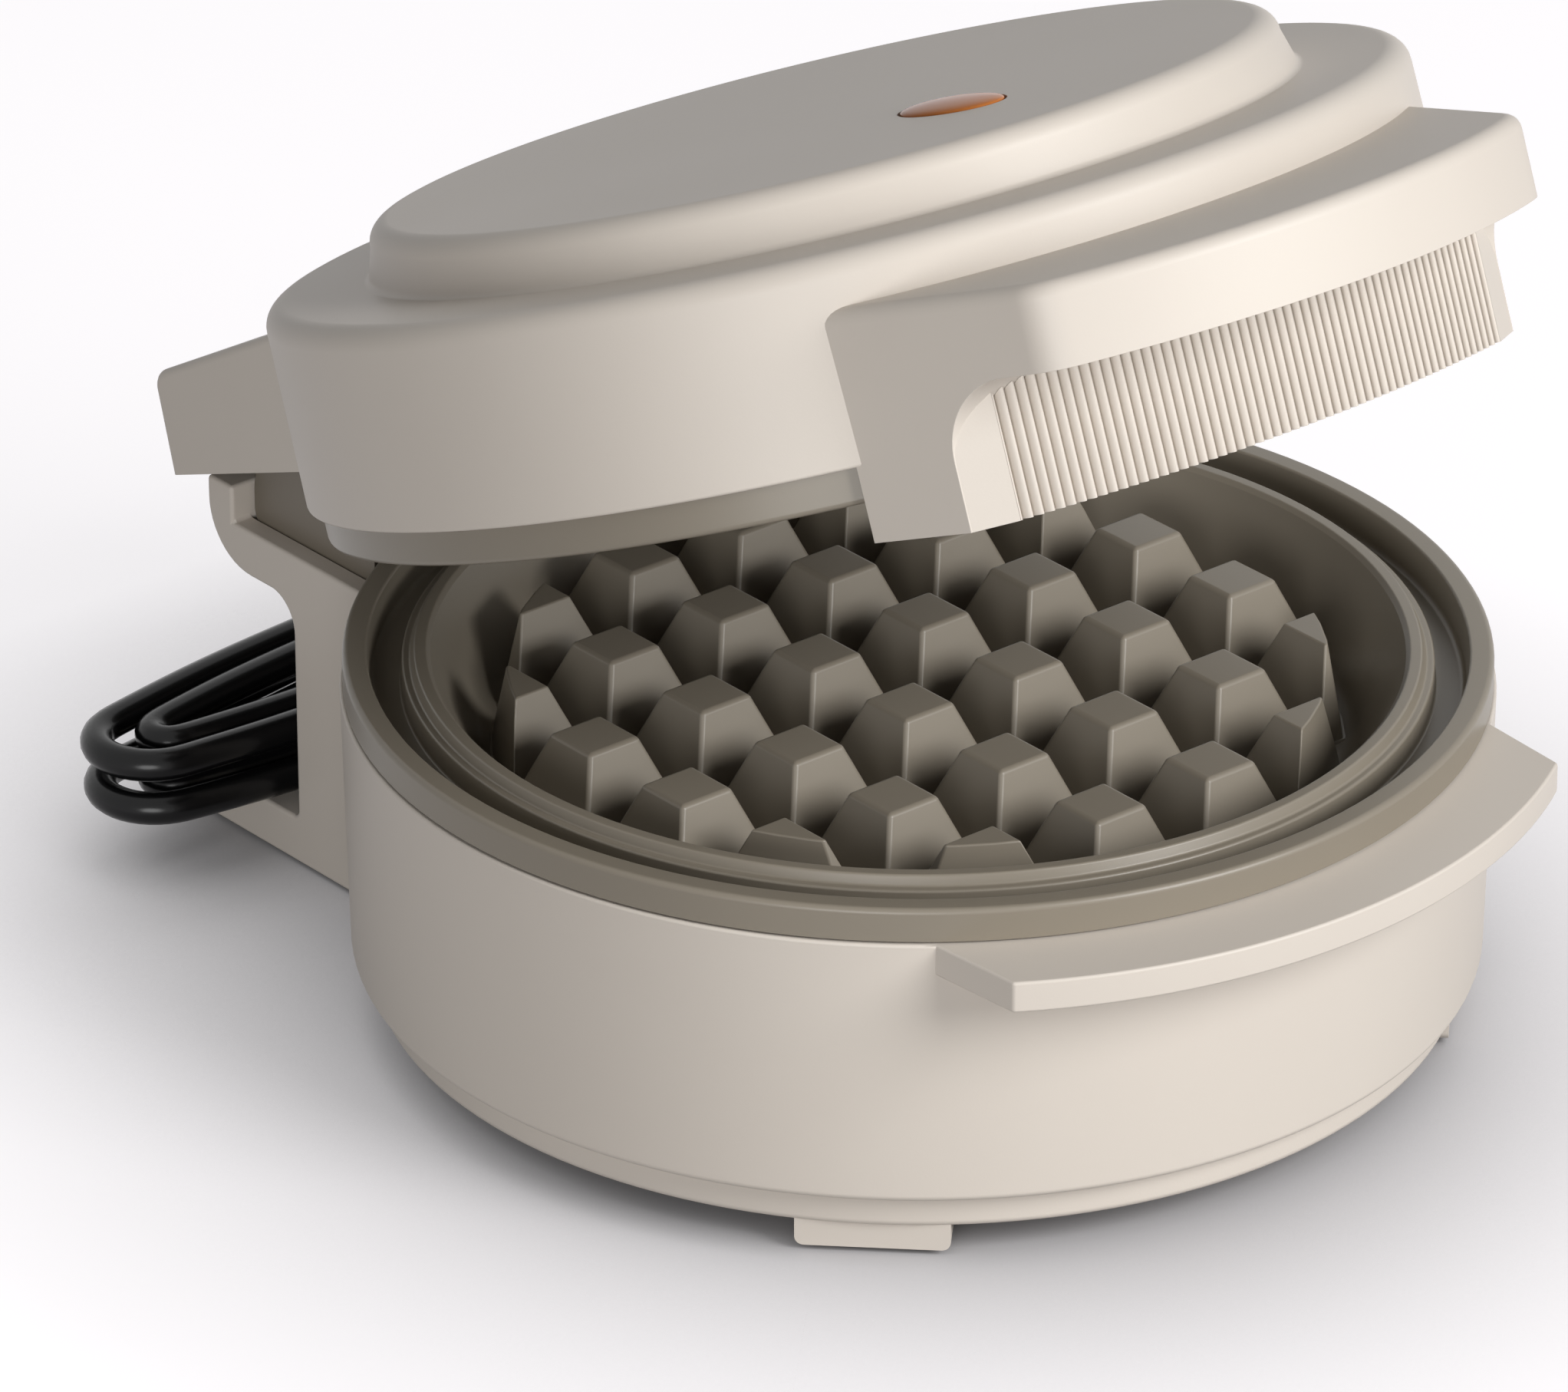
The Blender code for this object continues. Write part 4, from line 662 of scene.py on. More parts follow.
def foot_tab(angle):
    """A block across the cover's edge whose outer face follows the round edge."""
    outer = cover_radius - cover_chamfer
    half = tab_width / 2
    top_z = cover_bottom_z + cover_wall / 2
    bm = as_bmesh(block((-half, -outer, tab_bottom_z), (half, tab_depth - outer, top_z)))
    low = [edge for edge in bm.edges if all(v.co.z < tab_bottom_z + merge_distance for v in edge.verts)]
    sides = [edge for edge in low if abs(edge.verts[0].co.x - edge.verts[1].co.x) < merge_distance]
    bm = as_bmesh(bevelled(bm, sides, tab_fillet, 6))
    bmesh.ops.rotate(bm, matrix=Matrix.Rotation(angle, 3, "Z"), verts=bm.verts)
    return finish_mesh(bm)


def bottom_pan():
    inner, inside_z = cover_radius - cover_wall, cover_bottom_z + cover_wall
    profile = [(0.0, inside_z), (inner, inside_z), (inner, cover_top_z), (cover_radius, cover_top_z)]
    profile += arc((cover_radius - cover_chamfer, cover_bottom_z + cover_chamfer), cover_chamfer, 0, -90, 5)
    profile += [(0.0, cover_bottom_z)]
    body = spun(profile)
    for i in range(foot_count):
        angle = foot_first_angle + math.tau * i / foot_count
        body = joined(body, foot_tab(angle))
        body = cut(body, rod(pad_radius + gap, 0.0, pad_height + gap, point_on(pad_circle_radius, angle)))
    for place in round_places(screw_circle_radius, foot_count, screw_first_angle):
        tower_low = cover_bottom_z + cover_wall / 2
        body = joined(body, rod(screw_tower_radius, tower_low, cover_top_z - gap, place))
        body = cut(body, rod(screw_radius + gap, 0.0, cover_top_z + overrun, place))
        head = cover_bottom_z + screw_head_height + gap
        body = cut(body, rod(screw_head_radius + gap, 0.0, head, place))
    return placed(body, "bottom_pan", "base", on_base, "warm_cream_plastic", "base_cover")


def foot_pad(number, place):
    profile = [(0.0, pad_height), (pad_radius, pad_height), (pad_radius, pad_edge)]
    profile += [(pad_radius - pad_edge, 0.0), (0.0, 0.0)]
    body = spun(profile, 32)
    spot = on_base @ Matrix.Translation((*place, 0.0))
    return placed(body, f"rubber_pad_{number}", "base", spot, "dark_rubber", f"foot_pad_{number}")


def cover_screw(number, place):
    """A pan-head screw with a cross recess."""
    head_top = cover_bottom_z + screw_head_height
    shank = screw_length + cover_bottom_z
    profile = [(0.0, shank), (screw_radius, shank), (screw_radius, head_top), (screw_head_radius, head_top)]
    profile += [(screw_head_radius, cover_bottom_z + screw_head_height / 3)]
    profile += [(screw_head_radius * 0.8, cover_bottom_z), (0.0, cover_bottom_z)]
    body = spun(profile, 24)
    slot_half, slot_width = screw_head_radius * 0.6, screw_radius * 0.22
    for x, y in ((slot_half, slot_width), (slot_width, slot_half)):
        body = cut(body, block((-x, -y, 0.0), (x, y, cover_bottom_z + screw_head_height / 2)))
    spot = on_base @ Matrix.Translation((*place, 0.0))
    return placed(body, f"pan_screw_{number}", "base", spot, "bright_steel", f"cover_screw_{number}")


bottom_pan()
for number, spot in enumerate(round_places(pad_circle_radius, foot_count, foot_first_angle), 1):
    foot_pad(number, spot)
for number, spot in enumerate(round_places(screw_circle_radius, foot_count, screw_first_angle), 1):
    cover_screw(number, spot)

# %% [markdown]
# Each waffle plate is one casting: a rim that closes on the other plate's rim, a moat that catches
# batter, a stepped inner ring, and a cavity whose floor carries the pyramids. Its section is one
# outline, so the plate is spun like the drum.

# %% Plate's sizes and section
plate_radius, upper_plate_radius, plate_wall, plate_skirt_depth = 0.0750, 0.0744, 0.0025, 0.0043
rim_height, rim_width, rim_fillet = 0.0048, 0.0032, 0.0008
moat_width, moat_draft = 0.0040, 0.0005
step_height, step_width = 0.0034, 0.0011
ring_width, ring_slope = 0.0021, 0.0006
cavity_radius, cavity_floor_radius, cavity_depth = 0.0635, 0.0570, 0.0141
cavity_fillet, plate_fillet = 0.0030, 0.0004
pyramid_pitch, pyramid_top, pyramid_base = 0.01865, 0.0081, 0.0177
pyramid_height, pyramid_root, pyramid_bevel = 0.0119, 0.0005, 0.0006
plinth_base, plinth_height, plinth_root = 0.0186, 0.00025, 0.0002
clip_top_radius, clip_base_radius, clip_steps = 0.0532, 0.0562, 72
boss_radius, boss_circle_radius, boss_length = 0.0036, 0.0500, 0.0082
boss_count, boss_first_angle = 4, math.radians(45)
plate_screw_radius, plate_screw_reach = 0.0013, 0.0050
rim_top_z = housing_top_z + rim_height
mirror_z = rim_top_z + gap / 2
floor_z = rim_top_z - cavity_depth
floor_back_z = floor_z - plate_wall
skirt_z = housing_top_z - plate_skirt_depth
pyramid_top_z = floor_z + pyramid_height
boss_end_z = floor_back_z - boss_length
turned_over = Matrix.Translation((0.0, 0.0, 2 * mirror_z)) @ Matrix.Scale(-1.0, 4, (0.0, 0.0, 1.0))


def plate_profile(radius, rim_bottom_z, skirt_radius):
    rim_inner = radius - rim_width
    moat_outer = rim_inner - moat_draft
    ring_outer = cavity_radius + ring_width
    step_z = housing_top_z + step_height
    slope = (cavity_radius - cavity_floor_radius) / (rim_top_z - ring_slope - floor_z)
    corners = [
        (0.0, floor_z),
        (cavity_floor_radius, floor_z, cavity_fillet),
        (cavity_radius, rim_top_z - ring_slope, plate_fillet),
        (cavity_radius + ring_slope, rim_top_z, plate_fillet),
        (ring_outer, rim_top_z, plate_fillet),
        (ring_outer + ring_slope, step_z, plate_fillet),
        (ring_outer + ring_slope + step_width, step_z, plate_fillet),
        (moat_outer - moat_width, housing_top_z, plate_fillet),
        (moat_outer, housing_top_z, plate_fillet * 2),
        (rim_inner, rim_top_z, plate_fillet),
        (radius, rim_top_z, rim_fillet),
        (radius, rim_bottom_z),
        (skirt_radius, rim_bottom_z),
        (skirt_radius, skirt_z),
        (skirt_radius - plate_wall, skirt_z),
        (skirt_radius - plate_wall, housing_top_z - plate_wall),
        (ring_outer + ring_slope, housing_top_z - plate_wall),
        (cavity_floor_radius + plate_wall * slope, floor_back_z),
        (0.0, floor_back_z),
    ]
    outline = rounded(corners, 4)
    return [point for point, after in zip(outline, outline[1:] + [(-1.0, 0.0)]) if point != after]


# %% [markdown]
# The pyramids are four-sided cones on a square grid. Each stands on a thin plinth, for the soft foot that
# a casting has there. Those at the round wall are clipped by a cone, and all their edges are then
# bevelled, because a ceramic coat can't cover a sharp edge. The upper plate is the same, turned over.

# %% Pyramids and plates


def pyramid_group(places, base, top, low_z, high_z):
    """Plain pyramids on their places, as separate shells in one mesh."""
    group = bmesh.new()
    for x, y in places:
        turn = Matrix.Rotation(math.pi / 4, 4, "Z")
        bmesh.ops.create_cone(
            group, cap_ends=True, segments=4, radius1=base / math.sqrt(2), radius2=top / math.sqrt(2),
            depth=high_z - low_z, matrix=Matrix.Translation((x, y, (low_z + high_z) / 2)) @ turn,
        )
    return finish_mesh(group)


def pyramid_places():
    whole, clipped = [], []
    count = math.ceil(clip_top_radius / pyramid_pitch)
    half = pyramid_top / 2
    for row in range(-count, count):
        for column in range(-count, count):
            x, y = (column + 0.5) * pyramid_pitch, (row + 0.5) * pyramid_pitch
            if math.hypot(abs(x) + half, abs(y) + half) < clip_top_radius:
                whole.append((x, y))
            elif math.hypot(abs(x) - half, abs(y) - half) < clip_top_radius:
                clipped.append((x, y))
    return whole, clipped


def waffle_plate(radius, rim_bottom_z, skirt_radius):
    body = spun(plate_profile(radius, rim_bottom_z, skirt_radius))
    plinth = (plinth_base, pyramid_base, floor_z - plinth_root, floor_z + plinth_height)
    pyramid = (pyramid_base, pyramid_top, floor_z - pyramid_root, pyramid_top_z)
    for places, clipped in zip(pyramid_places(), (False, True)):
        for sizes, bevel in ((plinth, 0.0), (pyramid, pyramid_bevel)):
            group = pyramid_group(places, *sizes)
            if clipped:
                wider = 0.0 if bevel else gap
                cone = rod(
                    clip_base_radius + wider, floor_z - overrun, pyramid_top_z + overrun,
                    steps=clip_steps, end_radius=clip_top_radius + wider,
                )
                group = common(group, cone)
            if bevel:
                group = softened(group, bevel, 4, 25, bevel / 2)
            body = joined(body, group)
    for place in round_places(boss_circle_radius, boss_count, boss_first_angle):
        body = joined(body, rod(boss_radius, boss_end_z, floor_back_z + plate_wall / 2, place))
        end = boss_end_z + plate_screw_reach + gap
        body = cut(body, rod(plate_screw_radius + gap, boss_end_z - overrun, end, place, steps=16))
    return body


lower = waffle_plate(plate_radius, housing_top_z + gap, drum_radius - drum_wall - gap)
placed(lower, "lower_casting", "base", on_base, "taupe_ceramic", "lower_plate")
upper = as_bmesh(waffle_plate(upper_plate_radius, skirt_z, upper_plate_radius))
bmesh.ops.transform(upper, matrix=turned_over, verts=upper.verts)
placed(finish_mesh(upper), "upper_casting", "lid", on_lid, "taupe_ceramic", "upper_plate")

# %% [markdown]
# The pedestal behind the drum is one moulding with a C-shaped side: a foot plate that the cord lies
# on, a neck, a rounded shelf, and two cheeks with a low tab behind the hinge. Its side outline is
# drawn out, its outer edges are softened, and then its hollows and the drum's round are cut away.

# %% Hinge pedestal
pedestal_half_width, pedestal_wall = 0.0415, 0.0031
pedestal_front_y, pedestal_foot_z = 0.0550, 0.0006
pedestal_plate_top_z, pedestal_plate_rear_y = 0.0074, 0.1050
neck_fillet, bulge_rear_y, bulge_bottom_z, bulge_fillet = 0.0050, 0.0984, 0.0401, 0.0090
rear_tab_top_z, rear_tab_depth, recess_depth = 0.0521, 0.0054, 0.0024
pedestal_edge = 0.0006
recess_z = housing_top_z - recess_depth
tower_wall, tower_half_width = 0.0036, 0.0381
tower_inner_x = tower_half_width - tower_wall


def pedestal_shell():
    tab_front = bulge_rear_y - rear_tab_depth
    outline = rounded([
        (pedestal_front_y, pedestal_foot_z),
        (pedestal_plate_rear_y, pedestal_foot_z, pedestal_edge),
        (pedestal_plate_rear_y, pedestal_plate_top_z, pedestal_edge),
        (neck_rear_y, pedestal_plate_top_z, pedestal_edge * 2),
        (neck_rear_y, bulge_bottom_z, neck_fillet),
        (bulge_rear_y, bulge_bottom_z, bulge_fillet),
        (bulge_rear_y, rear_tab_top_z, pedestal_edge),
        (tab_front, rear_tab_top_z),
        (tab_front, housing_top_z),
        (pedestal_front_y, housing_top_z),
    ], 12)
    body = softened(drawn(outline, -pedestal_half_width, pedestal_half_width, "X"), pedestal_edge, 3, 45)
    inner = pedestal_half_width - pedestal_wall
    hollows = (
        ((-inner, pedestal_front_y - overrun, recess_z), (inner, tab_front, housing_top_z + overrun)),
        (
            (-inner, pedestal_front_y - overrun, pedestal_plate_top_z + pedestal_wall),
            (inner, neck_rear_y - pedestal_wall, recess_z - pedestal_wall),
        ),
        (
            (-tower_inner_x, tab_front - overrun, housing_top_z),
            (tower_inner_x, bulge_rear_y + overrun, rear_tab_top_z + overrun),
        ),
    )
    for low, high in hollows:
        body = cut(body, block(low, high))
    hole_end = neck_rear_y + overrun
    body = cut(body, rod(sleeve_neck_radius + gap, pedestal_front_y, hole_end, (sleeve_x, sleeve_z), "Y"))
    body = cut(body, rod(drum_radius + gap, -overrun, rear_tab_top_z + overrun, steps=round_steps))
    return placed(body, "pedestal_shell", "base", on_base, "warm_cream_plastic", "hinge_pedestal")


pedestal_shell()

# %% [markdown]
# The tower between the cheeks is a separate taupe moulding, tinted darker than the plates as painted
# shade for the hollow between the cheeks. Its two walls carry the hinge pins, and it is open in the
# middle, where the lid's steel bracket reaches down to the pins.

# %% Hinge tower
tower_floor, tower_rear_wall_top_z = 0.0021, 0.0474
tower_corner_fillet, tower_top_fillet, tower_top_z = 0.0038, 0.0060, 0.0640
tower_front_top_y, tower_front_top_z, tower_front_low_y, tower_front_low_z = 0.0750, 0.0620, 0.0690, 0.0555
tower_rear_shoulder_y, tower_rear_shoulder_z, tower_rear_top_y = 0.0915, 0.0590, 0.0870
pin_radius, pin_seat_depth = 0.0020, 0.0026
tower_edge = 0.0005
lid_radius = 0.0761


def tower_block():
    rear_y = bulge_rear_y - rear_tab_depth - gap
    bottom = recess_z + gap
    outline = rounded([
        (pedestal_front_y, bottom),
        (rear_y, bottom, tower_corner_fillet),
        (rear_y, hinge_z, tower_corner_fillet),
        (tower_rear_shoulder_y, tower_rear_shoulder_z, tower_corner_fillet),
        (tower_rear_top_y, tower_top_z, tower_top_fillet / 2),
        (tower_front_top_y, tower_front_top_z, tower_top_fillet),
        (tower_front_low_y, tower_front_low_z),
        (pedestal_front_y, tower_front_low_z),
    ])
    body = softened(drawn(outline, -tower_half_width, tower_half_width, "X"), tower_edge, 3, 45)
    hollows = (
        ((-tower_inner_x, pedestal_front_y - overrun, bottom + tower_floor),
         (tower_inner_x, rear_y - tower_floor, tower_top_z + overrun)),
        ((-tower_inner_x, rear_y - tower_floor - overrun, tower_rear_wall_top_z),
         (tower_inner_x, rear_y + overrun, tower_top_z + overrun)),
    )
    for low, high in hollows:
        body = cut(body, block(low, high))
    body = cut(body, rod(lid_radius + gap, 0.0, tower_top_z + overrun, steps=round_steps))
    seat = tower_inner_x + pin_seat_depth
    body = cut(body, rod(pin_radius + gap, -seat, seat, (hinge_y, hinge_z), "X"))
    return placed(body, "tower_block", "base", on_base, "shaded_taupe_plastic", "hinge_tower")


tower_block()

# %% [markdown]
# The lid is a spun shell with a raised round top, and three things grow out of it in one moulding: the
# handle in front, which overhangs a deep arch, the block that covers the hinge behind, and the oval
# hole for the lamp's lens. Each is made apart, its edges are rounded while they are still simple, and
# only then is it joined to the shell. The hollow inside is cut out last.

# %% Lid's sizes
lid_bottom_z, lid_wall, lid_skirt_wall = 0.0568, 0.0024, 0.0014
lid_shoulder_radius, lid_shoulder_z, lid_shoulder_fillet = 0.0757, 0.0802, 0.0030
disc_radius, disc_draft, disc_fillet, disc_foot = 0.0612, 0.0010, 0.0030, 0.0010
lid_top_z, lid_edge = 0.0906, 0.0004
lid_seat_width, lid_seat_thickness = 0.0035, 0.0020
handle_side_x, handle_side_y, handle_slant = 0.0492, -0.0574, math.radians(15.9)
handle_root_depth, handle_corner_x, handle_corner_fillet = 0.0050, 0.0405, 0.0080
handle_front_radius, handle_centre_y, handle_top_z, handle_bevel = 0.0765, -0.0240, 0.07655, 0.0020
leg_depth, visor_bottom_z, arch_fillet = 0.0150, 0.0657, 0.0098
arch_bevel, arch_front_y, arch_sharp = 0.0009, -0.0870, 35
grip_half_width, grip_front_radius, grip_front_y, grip_thickness = 0.0400, 0.1224, -0.0819, 0.0020
rib_depth, rib_count, rib_points, rib_sharpness = 0.0016, 56, 10, 0.45
block_half_width, block_bottom_z, block_front_y = 0.0446, 0.0567, 0.0500
block_rear_bottom_y, block_rear_top_y, block_rear_top_z = 0.1013, 0.1000, 0.0695
block_top_y, block_top_z, block_ridge_z, block_fillet = 0.0965, 0.0713, 0.0786, 0.0015
block_corner_y, block_corner_z, block_corner_radius, block_bevel = 0.0999, 0.0708, 0.0028, 0.0012
lens_y, lens_half_width, lens_half_length = -0.0280, 0.0053, 0.0086
lens_flange_width, lens_flange_thickness, lens_rise = 0.0018, 0.0014, 0.0009
base_rim_z = housing_top_z + gap


def lid_outer_profile():
    shoulder_top = lid_shoulder_z + lid_shoulder_fillet
    disc_top_radius = disc_radius - disc_draft - disc_fillet
    profile = [(0.0, lid_top_z)] + arc((disc_top_radius, lid_top_z - disc_fillet), disc_fillet, 90, 0)
    profile += arc((disc_radius + disc_foot, shoulder_top + disc_foot), disc_foot, 180, 270, 5)
    profile += arc((lid_shoulder_radius - lid_shoulder_fillet, lid_shoulder_z), lid_shoulder_fillet, 90, 0)
    profile += arc((lid_radius - lid_edge, lid_bottom_z + lid_edge), lid_edge, 0, -90, 3)
    return profile + [(0.0, lid_bottom_z)]


def lid_inner_profile():
    shoulder_top = lid_shoulder_z + lid_shoulder_fillet - lid_wall
    skirt = lid_radius - lid_skirt_wall
    seat_z = 2 * mirror_z - skirt_z + gap
    seat_top_z = seat_z + lid_seat_thickness
    slope = (lid_radius - lid_shoulder_radius) / (lid_shoulder_z - lid_bottom_z)
    wall_inner = lid_radius - lid_wall - slope * (seat_top_z - lid_bottom_z)
    flange_inner = skirt - lid_seat_width - lid_seat_thickness / 2
    side = disc_radius - lid_wall
    return [
        (0.0, lid_top_z - lid_wall), (side - disc_fillet, lid_top_z - lid_wall),
        (side - disc_draft, lid_top_z - disc_fillet), (side, shoulder_top),
        (lid_shoulder_radius - lid_shoulder_fillet, shoulder_top),
        (lid_shoulder_radius - lid_wall, lid_shoulder_z), (wall_inner, seat_top_z),
        (flange_inner, seat_top_z), (flange_inner, seat_z), (skirt, seat_z),
        (skirt, lid_bottom_z - overrun), (0.0, lid_bottom_z - overrun),
    ]


# %% [markdown]
# Seen from above the handle has slanting flat sides and a curved front. The room under it is what two
# outlines have in common: the arch, seen from the side, and the recess between the legs, seen from
# above. The edges where the arch comes out lie on curved faces, so they are found by place and angle
# and bevelled after the cut.

# %% Handle


def handle_side(run):
    """A place on the handle's right side, so far in front of where it leaves the drum."""
    return (handle_side_x - run * math.sin(handle_slant), handle_side_y - run * math.cos(handle_slant))


def handle_outline():
    half = math.asin(handle_corner_x / handle_front_radius)
    corner = (handle_corner_x, handle_centre_y - handle_front_radius * math.cos(half))
    end = half - handle_corner_fillet / 2 / handle_front_radius
    steps = 48
    front = [point_on(handle_front_radius, end * (2 * i / steps - 1)) for i in range(steps + 1)]
    front = [(x, y + handle_centre_y) for x, y in front]
    root = handle_side(-handle_root_depth)
    corners = [(-root[0], root[1]), (-corner[0], corner[1], handle_corner_fillet)]
    corners += front + [(*corner, handle_corner_fillet), root]
    return rounded(corners, 12)


def grip_arc(inset, half_width, steps):
    """Points on the grip's front, or on the like arc so far behind it."""
    radius = grip_front_radius - inset
    half = math.asin(half_width / radius)
    points = [point_on(radius, half * (2 * i / steps - 1)) for i in range(steps + 1)]
    return [(x, y + grip_front_radius + grip_front_y) for x, y in points]


def arch_room(space):
    """The room under the visor, seen from the side and drawn out along X."""
    back = handle_side(leg_depth)[1] - space
    low, top, front = base_rim_z - overrun, visor_bottom_z - space, 2 * grip_front_y
    side = rounded([(front, low), (back, low), (back, top, arch_fillet), (front, top)], 16)
    return drawn(side, -2 * handle_side_x, 2 * handle_side_x, "X")


def on_arch(edge):
    """Whether an edge lies where the arch comes out through the handle's side or front."""
    middle = (edge.verts[0].co + edge.verts[1].co) / 2
    outside = abs(middle.x) > handle_corner_x or middle.y < arch_front_y
    inside = base_rim_z + gap < middle.z < visor_bottom_z + gap
    return outside and inside and is_sharp(edge, arch_sharp)


def lid_handle():
    low = base_rim_z - 2 * handle_bevel
    body = softened(drawn(handle_outline(), low, handle_top_z), handle_bevel, 6, 25)
    far = 2 * handle_front_radius
    body = cut(body, block((-far, -far, low - overrun), (far, far, base_rim_z)))
    body = cut(body, rod(plate_radius + 2 * gap, 0.0, lid_bottom_z + gap, steps=round_steps))
    leg = Vector(handle_side(leg_depth))
    seat = grip_arc(grip_thickness + gap, grip_half_width, 24)
    edge = Vector(grip_arc(0.0, grip_half_width, 24)[-1])
    outside = leg + (leg - edge) * 2
    front = 2 * grip_front_y
    room = [(-outside.x, outside.y), (-edge.x, edge.y)] + seat
    room += [tuple(edge), tuple(outside), (outside.x, front), (-outside.x, front)]
    recess = common(drawn(room, base_rim_z - overrun, handle_top_z), arch_room(0.0))
    bm = as_bmesh(cut(body, recess))
    bmesh.ops.dissolve_limit(bm, angle_limit=flat_angle, verts=bm.verts, edges=bm.edges)
    arch = [edge for edge in bm.edges if on_arch(edge)]
    print("edges round the arch:", len(arch))
    return bevelled(bm, arch, arch_bevel, 4)


# %% [markdown]
# The block behind the lid has a roof that falls to the rear. The lid is put together here, and its
# hollow follows the outside at an even wall, with the seat that takes the upper plate's edge.

# %% Lid housing


def block_hollow():
    """The room in the block, a wall's thickness inside it."""
    inset, low = lid_wall, block_bottom_z - overrun
    outline = rounded([
        (block_front_y, low), (block_rear_bottom_y - inset, low),
        (block_rear_top_y - inset, block_rear_top_z - inset / 2, block_fillet),
        (block_top_y - inset / 2, block_top_z - inset, block_fillet), (block_front_y, block_ridge_z - inset),
    ], 6)
    inner = block_half_width - inset
    return cut(drawn(outline, -inner, inner, "X"), rod(lid_radius, 0.0, lid_top_z, steps=round_steps))


def lid_block():
    low = block_bottom_z - 2 * block_fillet
    outline = rounded([
        (block_front_y, low),
        (block_rear_bottom_y, low),
        (block_corner_y, block_corner_z, block_corner_radius),
        (block_front_y, block_ridge_z),
    ], 12)
    body = softened(drawn(outline, -block_half_width, block_half_width, "X"), block_bevel, 5, 45)
    far = 2 * block_rear_bottom_y
    return cut(body, block((-far, -far, low - overrun), (far, far, block_bottom_z)))


def oval(shape):
    """Stretches a round shape on the drum's axis to the lens's oval and moves it there."""
    bm = as_bmesh(shape)
    bmesh.ops.scale(bm, vec=(1.0, lens_half_length / lens_half_width, 1.0), verts=bm.verts)
    bmesh.ops.translate(bm, vec=(0.0, lens_y, 0.0), verts=bm.verts)
    return finish_mesh(bm)


def lid_shell():
    body = joined(spun(lid_outer_profile()), lid_handle())
    body = joined(body, lid_block())
    body = cut(body, spun(lid_inner_profile()))
    body = cut(body, block_hollow())
    body = cut(body, oval(rod(lens_half_width + gap, lid_shoulder_z, lid_top_z + overrun, steps=64)))
    return placed(body, "lid_shell", "lid", on_lid, "warm_cream_plastic", "lid_housing")


lid_shell()

# %% [markdown]
# The grip is a separate strip of upright ribs, like fine corrugated board. A power of a cosine gives each
# rib a round crest and leaves the valleys narrow and dark. The strip is drawn out from that outline, and
# the arch trims its top.

# %% Ribbed grip


def ribbed_grip():
    half_width = grip_half_width - gap / 6
    steps = rib_points * rib_count
    crests = grip_arc(0.0, half_width, steps)
    valleys = grip_arc(rib_depth, half_width, steps)
    front = []
    for i, (crest, valley) in enumerate(zip(crests, valleys)):
        share = abs(math.cos(math.pi * i / rib_points)) ** rib_sharpness
        front.append(tuple(Vector(valley).lerp(Vector(crest), share)))
    back = grip_arc(grip_thickness, half_width, 24)
    body = common(drawn(front + back[::-1], base_rim_z, handle_top_z), arch_room(gap / 6))
    return placed(body, "ribbed_grip", "lid", on_lid, "warm_cream_plastic", "handle_grip", sharp=50)


ribbed_grip()

# %% [markdown]
# The lens is a small oval of tinted acrylic that stands 0.9 mm proud with a domed top. Its flange
# holds it from inside.

# %% Indicator lens


def oval_lens():
    inside = lid_top_z - lid_wall - gap
    flange = lens_half_width + lens_flange_width
    turns = [math.pi / 2 * i / 10 for i in range(11)]
    profile = [(lens_half_width * math.sin(a), lid_top_z + lens_rise * math.cos(a)) for a in turns]
    profile += [(lens_half_width, inside), (flange, inside)]
    profile += [(flange, inside - lens_flange_thickness), (0.0, inside - lens_flange_thickness)]
    return placed(oval(spun(profile, 64)), "oval_lens", "lid", on_lid, "amber_lens", "indicator_lens")


oval_lens()

# %% [markdown]
# The floor is a plain pale sheet. Rays from the camera, and those that mirror or pass through glass,
# see an even glow on it, so that it reaches white away from the object. Near the object ambient
# occlusion takes that glow away, which paints a soft shadow there on top of the lamps' own shadow.

# %% Floor and backdrop
floor_size = 12.0
floor_lift = 0.88
floor_shade_reach, floor_shade_power = 0.08, 1.5
ambient = 0.16


def seen_rays(tree):
    """One where a ray comes from the camera, a mirror or glass, and zero elsewhere."""
    path = add_node(tree, "ShaderNodeLightPath").outputs
    seen = path["Is Camera Ray"]
    for ray in ("Is Glossy Ray", "Is Transmission Ray"):
        links = {0: seen, 1: path[ray]}
        seen = add_node(tree, "ShaderNodeMath", {"operation": "ADD", "use_clamp": True}, links).outputs[0]
    return seen


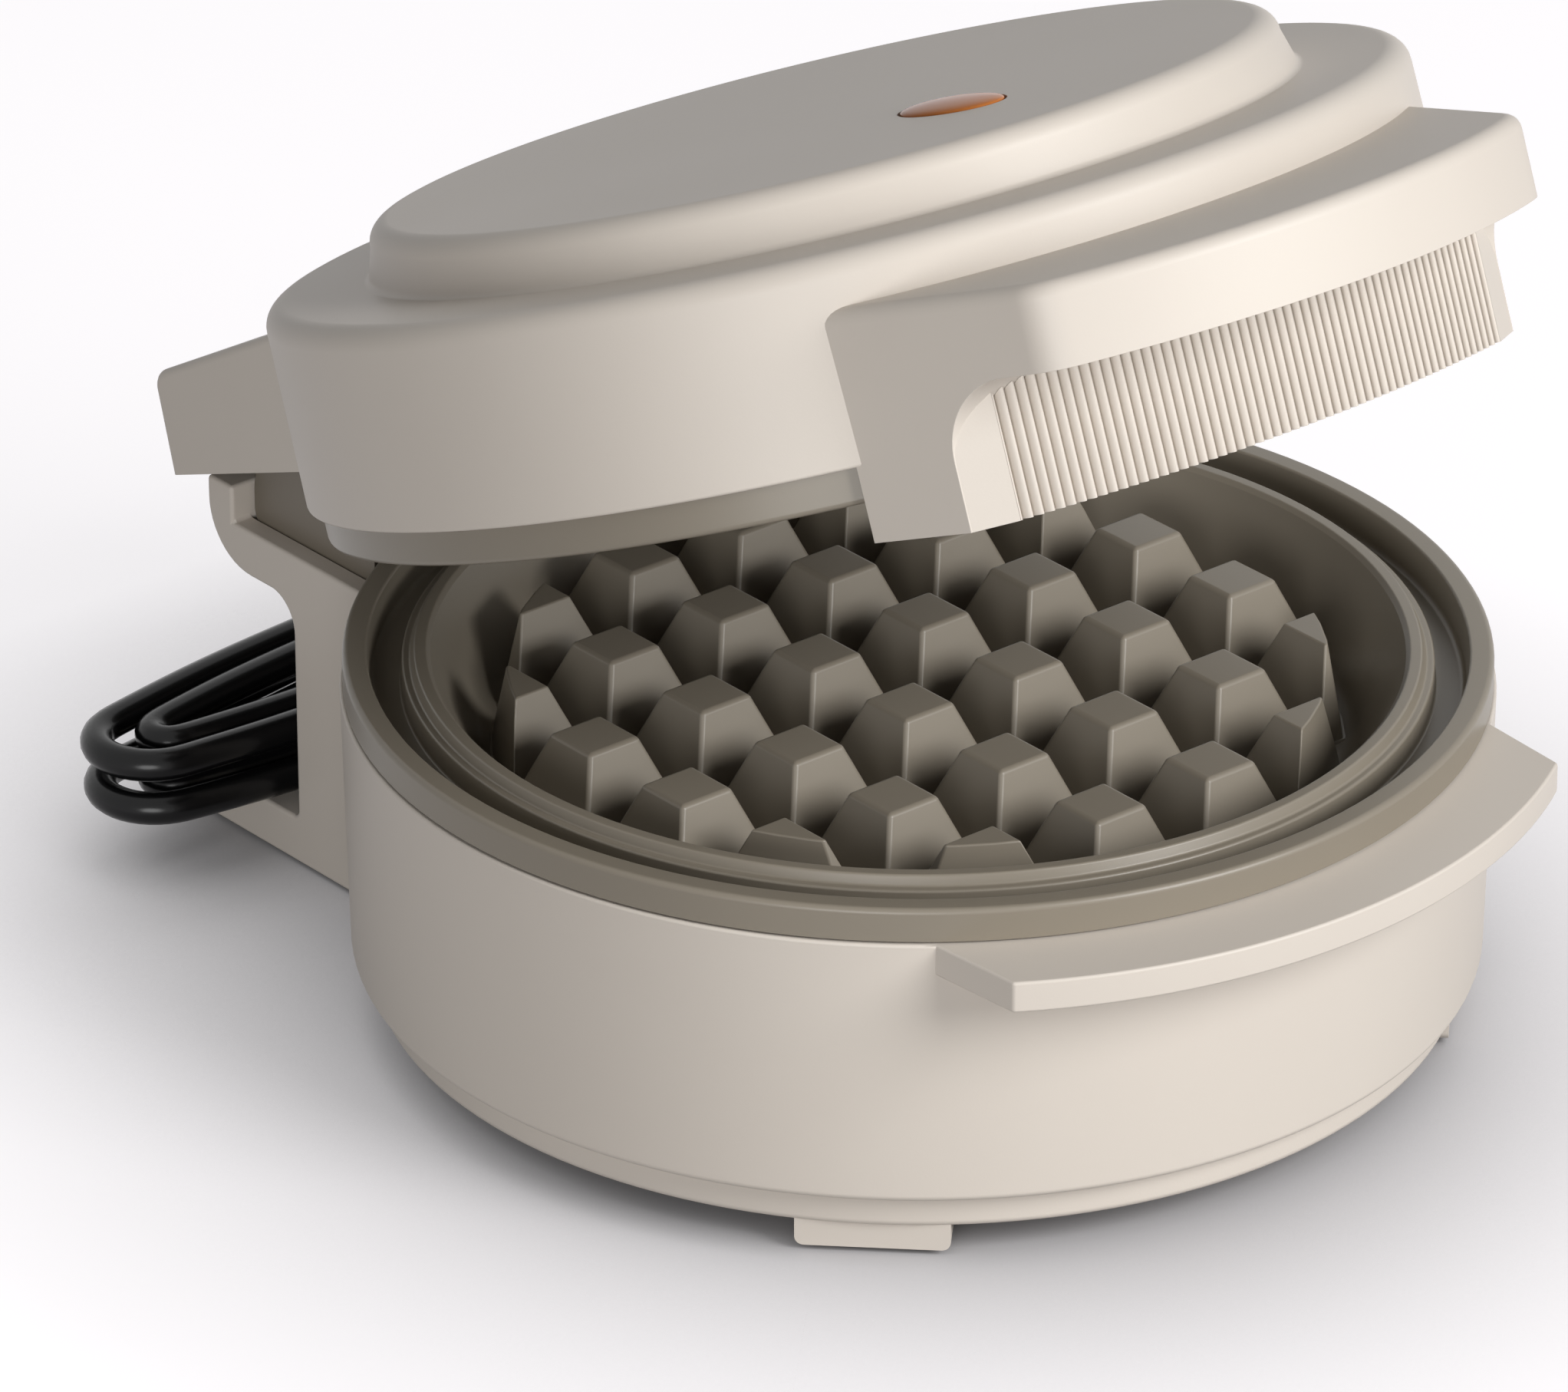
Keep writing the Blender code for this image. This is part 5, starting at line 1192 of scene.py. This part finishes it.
def floor_sheet():
    bm = bmesh.new()
    bmesh.ops.create_grid(bm, x_segments=1, y_segments=1, size=floor_size / 2)
    sheet = finish_mesh(bm, "floor")
    material = bpy.data.materials.new("pale_sheet")
    tree = empty_tree(material)
    colours = {"data_type": "RGBA", 6: linear("#959394"), 7: linear("#9A9899")}
    tint = add_node(tree, "ShaderNodeMix", colours, {0: seen_rays(tree)})
    matte = add_node(tree, "ShaderNodeBsdfDiffuse", links={"Color": tint.outputs[2]})
    # Ambient occlusion dims the glow near the object: a painted shadow round it.
    painted_shadow_ao = add_node(tree, "ShaderNodeAmbientOcclusion", {"samples": 16, "Distance": floor_shade_reach})
    lift = painted_shadow_ao.outputs["AO"]
    for settings in ({"operation": "POWER", 1: floor_shade_power}, {"operation": "MULTIPLY", 1: floor_lift}):
        lift = add_node(tree, "ShaderNodeMath", settings, {0: lift}).outputs[0]
    links = {0: lift, 1: seen_rays(tree)}
    lift = add_node(tree, "ShaderNodeMath", {"operation": "MULTIPLY"}, links).outputs[0]
    glow = add_node(tree, "ShaderNodeEmission", {"Color": linear("#F8F6F8")}, {"Strength": lift})
    both = add_node(tree, "ShaderNodeAddShader", links={0: matte.outputs[0], 1: glow.outputs[0]})
    add_node(tree, "ShaderNodeOutputMaterial", links={"Surface": both.outputs[0]})
    sheet.data.materials.append(material)


def backdrop():
    world = bpy.data.worlds.new("studio")
    tree = empty_tree(world)
    level = {"To Min": ambient, "To Max": 1.0}
    strength = add_node(tree, "ShaderNodeMapRange", level, {"Value": seen_rays(tree)})
    white = {"Color": linear("#FFFFFF")}
    light = add_node(tree, "ShaderNodeBackground", white, {"Strength": strength.outputs[0]})
    add_node(tree, "ShaderNodeOutputWorld", links={"Surface": light.outputs[0]})
    bpy.context.scene.world = world


floor_sheet()
backdrop()
print(f"floor {floor_size} m across, world at {ambient}")

# %% [markdown]
# The photograph's light is a broad soft lamp in front of the handle, a little to the right, which leaves
# the lid's sloping top darker than its sides. A weaker, low one on the left fills the drum's side.

# %% Lamps
lamp_target = (0.0, 0.0, 0.06)


def lamp(name, place, size, watts):
    data = bpy.data.lights.new(name, "AREA")
    data.shape = "DISK"
    data.size = size
    data.energy = watts
    light = bpy.data.objects.new(name, data)
    bpy.context.scene.collection.objects.link(light)
    light.location = place
    light.rotation_euler = (Vector(lamp_target) - Vector(place)).to_track_quat("-Z", "Y").to_euler()
    print(f"{name}: {watts} W, {size} m across")


lamp("front_lamp", (0.32, -1.20, 0.78), 0.8, 19.5)
lamp("left_lamp", (-0.99, -0.82, 0.24), 0.7, 7.8)

# %% [markdown]
# Standard view keeps each colour as it was written.

# %% Finish
bpy.context.scene.view_settings.view_transform = "Standard"
